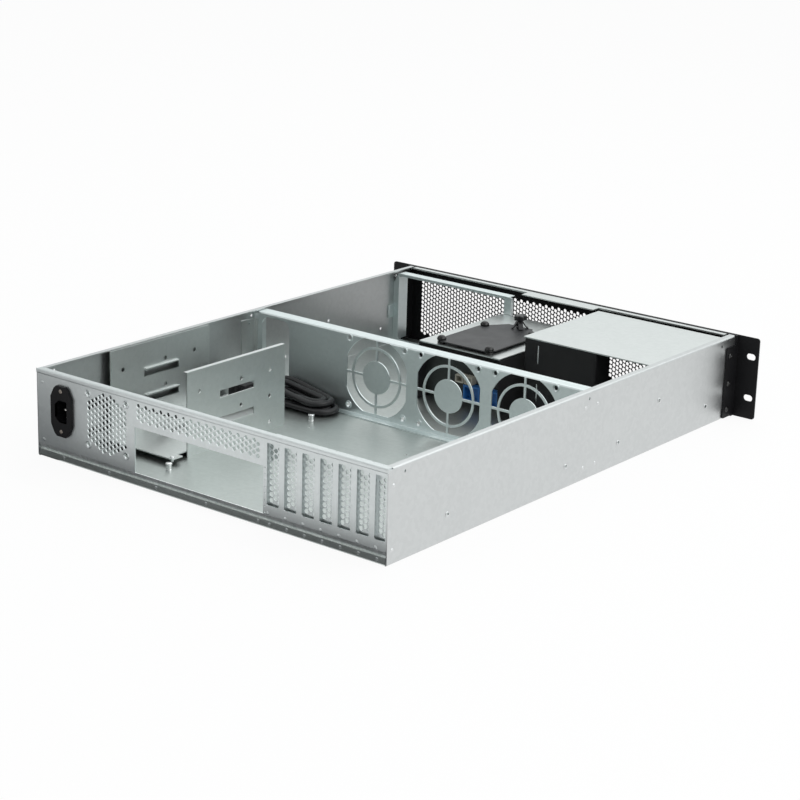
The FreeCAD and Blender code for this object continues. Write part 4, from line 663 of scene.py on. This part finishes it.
# From a slot's edge: how far a bump under the slot and one in the fold lie, and their heights.
SLOT_BUMP_IN, SLOT_BUMP_Z, FOLD_BUMP_IN, FOLD_BUMP_Z = 1.4, 14.4, 3.4, 4.6
FOLD_MARKS, FOLD_MARK_Z = (179.3, 118.0, 56.8, -6.0, -69.2), 4.9
END_MARKS = ((207.1, 75.0), (206.6, 17.8))
rims = bmesh.new()
rear_marks = bmesh.new()
for sx in SIDES:
    for sz in SIDES:
        for x in FAN_MIDDLES:
            turned(rims, RIM, (x + sx * FAN_REACH, FAN_WALL_Y, FAN_Z + sz * FAN_REACH), REARWARD)
        turned(rear_marks, RIM, (VENT_X + sx * VENT_REACH, 0, VENT_Z + sz * VENT_REACH), REARWARD)
for i in range(SLOTS):
    edge = SLOT_EDGE - i * SLOT_PITCH
    turned(rear_marks, BUMP, (edge - SLOT_BUMP_IN, 0, SLOT_BUMP_Z), REARWARD, BUMP_STEPS)
    turned(rear_marks, LOW_BUMP, (edge - FOLD_BUMP_IN, 0, FOLD_BUMP_Z), REARWARD, BUMP_STEPS)
for x, z in [(x, FOLD_MARK_Z) for x in FOLD_MARKS] + list(END_MARKS):
    turned(rear_marks, LOW_BUMP, (x, 0, z), REARWARD, BUMP_STEPS)
# The rims take the partition's copy of the sheet with its painted light, the marks the rear wall's copy with
# its painted reflection.
finish_piece("fan_hole_rims", rims, "zinc_inner")
finish_piece("rear_pressed_marks", rear_marks, "zinc_rear")

# %% [markdown]
# ## Screws, rivets and nuts
# Small hardware is turned on a lathe or headed in a die, so it is spun. A cross recess is pushed
# in: the head is spun with many steps, and the points inside a cross go down, deepest in the
# middle, which is quick and keeps the mesh light.

# %% Pan screws with a cross recess
HEAD_R, HEAD_H, SHANK_R = 3.0, 1.8, 1.5
# Rings of the head, as shares of its radius and height.
HEAD_RINGS = ((0.0, 1.0), (0.10, 1.0), (0.17, 1.0), (0.45, 0.98), (0.53, 0.95), (0.72, 0.84), (0.90, 0.58),
              (1.0, 0.22), (1.0, 0.0), (SHANK_R / HEAD_R, 0.0))
# The cross: half an arm's width and its reach as shares of the radius, its depth of the height.
CROSS_ARM, CROSS_REACH, CROSS_DEPTH, CROSS_TOP = 0.16, 0.50, 0.7, 0.9
HEAD_STEPS = 32


def pan_head(bm, place, axis=UP, size=1.0, shank=4.0, roll=0.0):
    """A pan head screw: rings of points, the cross pushed in, and its shank."""
    radius, height = HEAD_R * size, HEAD_H * size
    profile = [(r * radius, h * height) for r, h in HEAD_RINGS] + [(SHANK_R, -shank), (0, -shank)]
    made = spun(bm, profile, HEAD_STEPS)
    for vert in made:
        x, y, z = vert.co / MM
        flat_r = math.hypot(x, y)
        in_cross = flat_r < CROSS_REACH * radius and min(abs(x), abs(y)) < CROSS_ARM * radius
        if in_cross and z > CROSS_TOP * height:
            vert.co.z -= CROSS_DEPTH * height * (1 - 0.5 * flat_r / (CROSS_REACH * radius)) * MM
    bmesh.ops.transform(bm, matrix=placed(place, axis, roll), verts=made)


COVER_MIDDLES = [SLOT_EDGE - 7.0 - i * SLOT_PITCH for i in range(SLOTS - 1)] + [-206.11]
TAB_TOP, TAB_Y = 83.0, -11.2
screws = bmesh.new()
for i, x in enumerate(COVER_MIDDLES):
    pan_head(screws, (x, TAB_Y, TAB_TOP), shank=4.6, roll=0.3 + 0.7 * i)
finish_piece("slot_cover_screws", screws, "screw_steel", ["slot_screws"])
BASE_SCREW = (99.4, -64.9, 8.0)
small = bmesh.new()
pan_head(small, BASE_SCREW, size=0.8, roll=0.5)
finish_piece("base_screw_headed", small, "screw_steel", ["base_screw"])
EAR_FACE_X, EAR_SCREW_Y, EAR_SCREW_Z = 216.5, -564.0, (10.0, 38.0, 68.0)
ear_heads = bmesh.new()
for side in SIDES:
    for i, z in enumerate(EAR_SCREW_Z):
        pan_head(ear_heads, (side * EAR_FACE_X, EAR_SCREW_Y, z), (side, 0, 0), roll=0.9 * i)
finish_piece("ear_screw_heads", ear_heads, "black_screw", ["ear_screws"])

# %% Rivets, press nuts and floor studs
RIVET = ((0, 0.62), (0.8, 0.58), (1.5, 0.38), (2.0, 0.0), (1.2, 0.0), (1.2, -2.5), (0, -2.5))
NUT = ((1.6, -1.2), (1.6, 0.35), (1.85, 0.5), (2.45, 0.5), (2.7, 0.3), (2.7, 0.0), (2.1, 0.0), (2.1, -1.2),
       (1.6, -1.2))
RIVET_SPOTS = [(-7.0, 13.2), (-7.0, 71.4)] + [(y, z) for y in (-297.3, -317.7) for z in (12.8, 72.4)]
NUT_SPOTS = ((-84.0, 24.6), (-267.4, 22.0), (-357.8, 23.5), (-430.0, 50.0), (-523.0, 22.5))
rivets = bmesh.new()
nuts = bmesh.new()
for side in SIDES:
    for y, z in RIVET_SPOTS:
        turned(rivets, RIVET, (side * HALF_CASE, y, z), (side, 0, 0), steps=16)
    for y, z in NUT_SPOTS:
        turned(nuts, NUT, (side * HALF_CASE, y, z), (side, 0, 0), steps=24)
finish_piece("wall_rivet_heads", rivets, "screw_steel", ["wall_rivets"])
finish_piece("press_nuts", nuts, "screw_steel", ["rail_nuts"])
STUD = ((0, 8.6), (2.6, 8.6), (3.2, 8.3), (3.4, 7.9), (3.4, 7.2), (3.1, 7.0), (2.6, 6.9), (2.6, 2.2),
        (2.9, 1.9), (2.9, 1.2), (1.6, 1.2), (1.6, 0.1), (0, 0.1))
STUD_X, STUD_Y = 90.0, (-50.7, -257.5)
studs = bmesh.new()
for y in STUD_Y:
    turned(studs, STUD, (STUD_X, y, 0.0), steps=28)
finish_piece("bright_studs", studs, "bright_stud", ["floor_studs"])

# %% Bright strip behind the slots of the bay's black bracket: painted light for the light seen through them
STRIP_X, STRIP_Y, STRIP_Z = (-75.4, -69.2), (-424.2, -423.4), (14.0, 83.0)
strip = bmesh.new()
slab(strip, *zip(STRIP_X, STRIP_Y, STRIP_Z), soften=0.15)
finish_piece("slot_light_strip", strip, "bright_stud")

# %% [markdown]
# ## Thumb knob and rubber grommets
# The knob has a lobed head on a waist and four splayed legs. The head is a circle whose points are
# drawn in between the lobes, extruded and inset for its worn rim. One leg is a short bent strip
# that is extruded along its bend, thickened, and then copied three times round the knob. The
# grommets are turned: a foot under the plate, a neck in its notch and a domed head.

# %% Thumb knob
KNOB_X, KNOB_Y = 2.0, -496.0
PLATE_TOP, DECK_TOP = 68.6, 65.0
HEAD_HIGH, HEAD_LOW, HEAD_RADIUS, HEAD_POINTS = 83.6, 78.6, 7.4, 60
LOBES, LOBE_DEPTH, LOBE_CURVE = 5, 0.40, 1.4
CROWN_INSET, CROWN_RISE = 0.9, 0.8
WAIST = ((0, 10.4), (3.6, 10.4), (2.9, 8.4), (2.4, 5.6), (3.4, 4.6), (3.4, 3.9), (2.4, 3.9), (2.4, 0), (0, 0))
PIN_R, PIN_LIFT = 2.3, 0.1
PIN = ((0, PLATE_TOP - DECK_TOP), (PIN_R, PLATE_TOP - DECK_TOP), (PIN_R, PIN_LIFT), (0, PIN_LIFT))
# The bend of a leg, as distances from the knob's axis and heights over the plate.
LEG = ((1.4, 8.6), (2.6, 7.2), (4.4, 4.2), (6.6, 1.4), (8.6, 0.3))
LEG_HALF, LEG_THICK, LEGS = 2.5, 1.1, 4
knob = bmesh.new()
middle = at(KNOB_X, KNOB_Y, HEAD_LOW)
head = bmesh.ops.create_circle(knob, cap_ends=True, radius=HEAD_RADIUS * MM, segments=HEAD_POINTS,
                               matrix=Matrix.Translation(middle))["verts"]
for vert in head:
    arm = vert.co - middle
    hollow = 0.5 - 0.5 * math.cos(LOBES * math.atan2(arm.y, arm.x))
    vert.co = middle + arm * (1 - LOBE_DEPTH * hollow ** LOBE_CURVE)
pulled = thicken(knob, [head[0].link_faces[0]], (0, 0, HEAD_HIGH - HEAD_LOW - CROWN_RISE))
bmesh.ops.inset_region(knob, faces=faces_of(pulled), thickness=CROWN_INSET * MM, depth=CROWN_RISE * MM,
                       use_even_offset=True)
turned(knob, WAIST, (KNOB_X, KNOB_Y, PLATE_TOP), steps=24)
turned(knob, PIN, (KNOB_X, KNOB_Y, DECK_TOP), steps=16)

leg_x, leg_z = KNOB_X + LEG[0][0], PLATE_TOP + LEG[0][1]
row = [knob.verts.new(at(leg_x, KNOB_Y + side * LEG_HALF, leg_z)) for side in SIDES]
row_edges = [knob.edges.new(row)]
leg_faces = []
for (x0, z0), (x1, z1) in zip(LEG, LEG[1:]):
    grown = bmesh.ops.extrude_edge_only(knob, edges=row_edges)["geom"]
    row = verts_of(grown)
    row_edges = edges_of(grown, row)
    bmesh.ops.translate(knob, vec=((x1 - x0) * MM, 0, (z1 - z0) * MM), verts=row)
    leg_faces += faces_of(grown)
bmesh.ops.recalc_face_normals(knob, faces=leg_faces)
thick = bmesh.ops.solidify(knob, geom=leg_faces, thickness=-LEG_THICK * MM)["geom"]
leg = list({vert for face in leg_faces for vert in face.verts} | set(verts_of(thick)))
whole = leg + list({edge for vert in leg for edge in vert.link_edges})
whole += list({face for vert in leg for face in vert.link_faces})
knob_axis = at(KNOB_X, KNOB_Y, 0)
bmesh.ops.rotate(knob, cent=knob_axis, matrix=Matrix.Rotation(math.pi / LEGS, 3, "Z"), verts=leg)
for k in range(1, LEGS):
    copied = bmesh.ops.duplicate(knob, geom=whole)["geom"]
    bmesh.ops.rotate(knob, cent=knob_axis, matrix=Matrix.Rotation(2 * math.pi * k / LEGS, 3, "Z"),
                     verts=verts_of(copied))
finish_piece("star_knob", knob, "black_plastic", ["thumb_knob"])

# %% Rubber grommets
GROMMET = ((0, 8.4), (1.4, 8.3), (2.8, 7.8), (3.9, 6.9), (4.7, 5.7), (5.0, 4.5), (4.8, 3.6), (3.0, 3.6),
           (3.0, 2.4), (4.4, 2.4), (4.4, 0.3), (4.1, 0.0), (0, 0.0))
GROMMET_X, GROMMET_Y = (-24.86, 36.86), (-480.3, -403.7)
feet = bmesh.new()
for x in GROMMET_X:
    for y in GROMMET_Y:
        turned(feet, GROMMET, (x, y, DECK_TOP), steps=28)
finish_piece("rubber_grommets", feet, "grommet_gloss", ["grommets"])

# %% [markdown]
# ## Mains inlet
# The inlet is a black moulding: a flange with cut corners, a recess with three blades, and a
# tapered strain relief for the lead at the back. The flange and the recess are drawn as outlines
# and filled, as the panel was. The boot is turned, with grooves that let it flex, and each blade
# is a flat block with softened edges.

# %% Mains inlet: flange, recess, body and ribbed boot
INLET_X, INLET_Z = 179.5, 51.7
FLANGE = ((-6, 25), (-9.2, 22.2), (-13.75, 13.5), (-13.75, -13.5), (-9.2, -22.2), (-6, -25), (6, -25),
          (9.2, -22.2), (13.75, -13.5), (13.75, 13.5), (9.2, 22.2), (6, 25))
RECESS = ((-7.6, -10.9), (2.6, -10.9), (8.0, -6.2), (8.0, 6.2), (2.6, 10.9), (-7.6, 10.9), (-8.0, 10.3),
          (-8.0, -10.3))
FLANGE_T, RECESS_D, RECESS_SINK = 3.0, 17.0, 0.2
SCREW_REACH, SCREW_HOLE_R, SCREW_Y = 20.0, 1.7, 1.9
# The body: half its width and height outside and inside, its depth, and where its floor starts.
BODY_W, BODY_H, HOLLOW_W, HOLLOW_H, BODY_D, BODY_FLOOR_Y = 10.0, 13.25, 8.1, 11.0, 22.0, -14.4
# Its four walls and its floor: from and to across, from and to upwards, rear face and softness.
BODY_BLOCKS = ((-BODY_W, -HOLLOW_W, -BODY_H, BODY_H, 0.0, 0.0), (HOLLOW_W, BODY_W, -BODY_H, BODY_H, 0.0, 0.0),
               (-BODY_W, BODY_W, HOLLOW_H, BODY_H, 0.0, 0.0), (-BODY_W, BODY_W, -BODY_H, -HOLLOW_H, 0.0, 0.0),
               (-BODY_W, BODY_W, -BODY_H, BODY_H, BODY_FLOOR_Y, 0.4))
# One rib of the boot as (radius, height), and the step from one rib to the next.
BOOT_RIB, BOOT_STEP, BOOT_RIBS = ((5.5, 4.0), (5.5, 5.0), (6.4, 5.5), (6.25, 6.6)), (-0.5, 3.6), 5
BLADES, BLADE_Y, BLADE_HALF = ((-2.0, -7.0), (-2.0, 7.0), (2.0, 0.0)), (-17.0, -4.0), (2.0, 1.0)


def ring_of(bm, corners, y):
    """A closed ring of edges through corners (across, up) of the inlet, at depth y."""
    spots = [bm.verts.new(at(INLET_X + u, y, INLET_Z + v)) for u, v in corners]
    return [bm.edges.new(pair) for pair in zip(spots, spots[1:] + spots[:1])]


def ribbed(rib, step, count):
    """The profile of one rib, repeated with a step of radius and height."""
    return [(radius + k * step[0], height + k * step[1]) for k in range(count) for radius, height in rib]


inlet = bmesh.new()
face_edges = ring_of(inlet, FLANGE, FLANGE_T) + ring_of(inlet, RECESS, FLANGE_T)
for side in SIDES:
    hole = bmesh.ops.create_circle(inlet, cap_ends=False, radius=SCREW_HOLE_R * MM, segments=20,
                                   matrix=upright(INLET_X, INLET_Z + side * SCREW_REACH, FLANGE_T))["verts"]
    face_edges += list({edge for vert in hole for edge in vert.link_edges})
bmesh.ops.triangle_fill(inlet, use_beauty=True, use_dissolve=False, edges=face_edges)
thicken(inlet, list(inlet.faces), (0, -FLANGE_T, 0))
tube = bmesh.ops.extrude_edge_only(inlet, edges=ring_of(inlet, RECESS, FLANGE_T - RECESS_SINK))["geom"]
recess_floor = verts_of(tube)
bmesh.ops.translate(inlet, vec=(0, -RECESS_D * MM, 0), verts=recess_floor)
bmesh.ops.contextual_create(inlet, geom=recess_floor + edges_of(tube, recess_floor))
for low_u, high_u, low_v, high_v, rear_y, soften in BODY_BLOCKS:
    slab(inlet, (INLET_X + low_u, -BODY_D, INLET_Z + low_v), (INLET_X + high_u, rear_y, INLET_Z + high_v),
         soften)
boot = [(0, 0), (6.5, 0), (6.5, 2.5)] + ribbed(BOOT_RIB, BOOT_STEP, BOOT_RIBS) + [(4.1, 22.0), (0, 22.0)]
turned(inlet, boot, (INLET_X, -BODY_D, INLET_Z), FORWARD, steps=28)
finish_piece("inlet_moulding", inlet, "inlet_black", ["power_inlet"])
blades = bmesh.new()
for u, v in BLADES:
    slab(blades, (INLET_X + u - BLADE_HALF[0], BLADE_Y[0], INLET_Z + v - BLADE_HALF[1]),
         (INLET_X + u + BLADE_HALF[0], BLADE_Y[1], INLET_Z + v + BLADE_HALF[1]), soften=0.45)
finish_piece("inlet_blades", blades, "contact_metal", ["inlet_pins"])
sunk = bmesh.new()
for side in SIDES:
    pan_head(sunk, (INLET_X, SCREW_Y, INLET_Z + side * SCREW_REACH), REARWARD, size=0.85, shank=5.0,
             roll=0.5 + side)
finish_piece("inlet_screw_heads", sunk, "inlet_screw", ["inlet_screws"])

# %% [markdown]
# ## Connector on the lead's free end
# The lead ends in its moulded connector beside the folded bundle. Its body is a softened block
# with three low grip ribs on each side, it has three slots in its face, and a ribbed relief where
# the lead goes in. The slots are not cut: small sunk blocks of darker plastic sit in the face as
# painted shade for the dark hollows of the slots.

# %% Connector
PLUG_X, PLUG_Y, PLUG_Z = 172.0, -266.0, 10.9
# Grip and nose: from and to in X, half width, from and to in Z, and softness.
PLUG_BLOCKS = ((182.0, 197.0, 8.4, 2.5, 19.3, 2.0), (196.0, 206.0, 8.1, 2.9, 18.9, 1.2))
GRIP_X, GRIP_PITCH, GRIP_WIDE, GRIPS = 185.0, 3.2, 1.6, 3
GRIP_REACH, GRIP_HALF, GRIP_Z = 8.3, 0.4, (5.0, 17.0)
RELIEF_RIB, RELIEF_STEP, RELIEF_RIBS = ((4.1, 2.0), (4.9, 2.5), (4.9, 3.6), (4.2, 4.0)), (0.5, 2.6), 3
PLUG_SLOTS, PLUG_SLOT_X, PLUG_SLOT_HALF = ((0.0, 14.4), (-4.0, 8.0), (4.0, 8.0)), (202.0, 206.05), (1.1, 2.2)
plug = bmesh.new()
for low_x, high_x, half, low_z, high_z, soften in PLUG_BLOCKS:
    slab(plug, (low_x, PLUG_Y - half, low_z), (high_x, PLUG_Y + half, high_z), soften)
for k in range(GRIPS):
    for side in SIDES:
        x, y = GRIP_X + GRIP_PITCH * k, PLUG_Y + side * GRIP_REACH
        slab(plug, (x, y - GRIP_HALF, GRIP_Z[0]), (x + GRIP_WIDE, y + GRIP_HALF, GRIP_Z[1]), soften=0.3)
strain_relief = [(0, 0), (4.1, 0), (4.2, 1.2)] + ribbed(RELIEF_RIB, RELIEF_STEP, RELIEF_RIBS)
strain_relief += [(6.4, 10.6), (0, 10.6)]
turned(plug, strain_relief, (PLUG_X, PLUG_Y, PLUG_Z), ACROSS, steps=24)
connector = finish_piece("lead_connector", plug, "black_plastic", ["lead_plug"])
slots = bmesh.new()
for y, z in PLUG_SLOTS:
    slab(slots, (PLUG_SLOT_X[0], PLUG_Y + y - PLUG_SLOT_HALF[0], z - PLUG_SLOT_HALF[1]),
         (PLUG_SLOT_X[1], PLUG_Y + y + PLUG_SLOT_HALF[0], z + PLUG_SLOT_HALF[1]), soften=0.2)
slot_shade_blocks = finish_piece("slot_shade_blocks", slots, "black_ear")
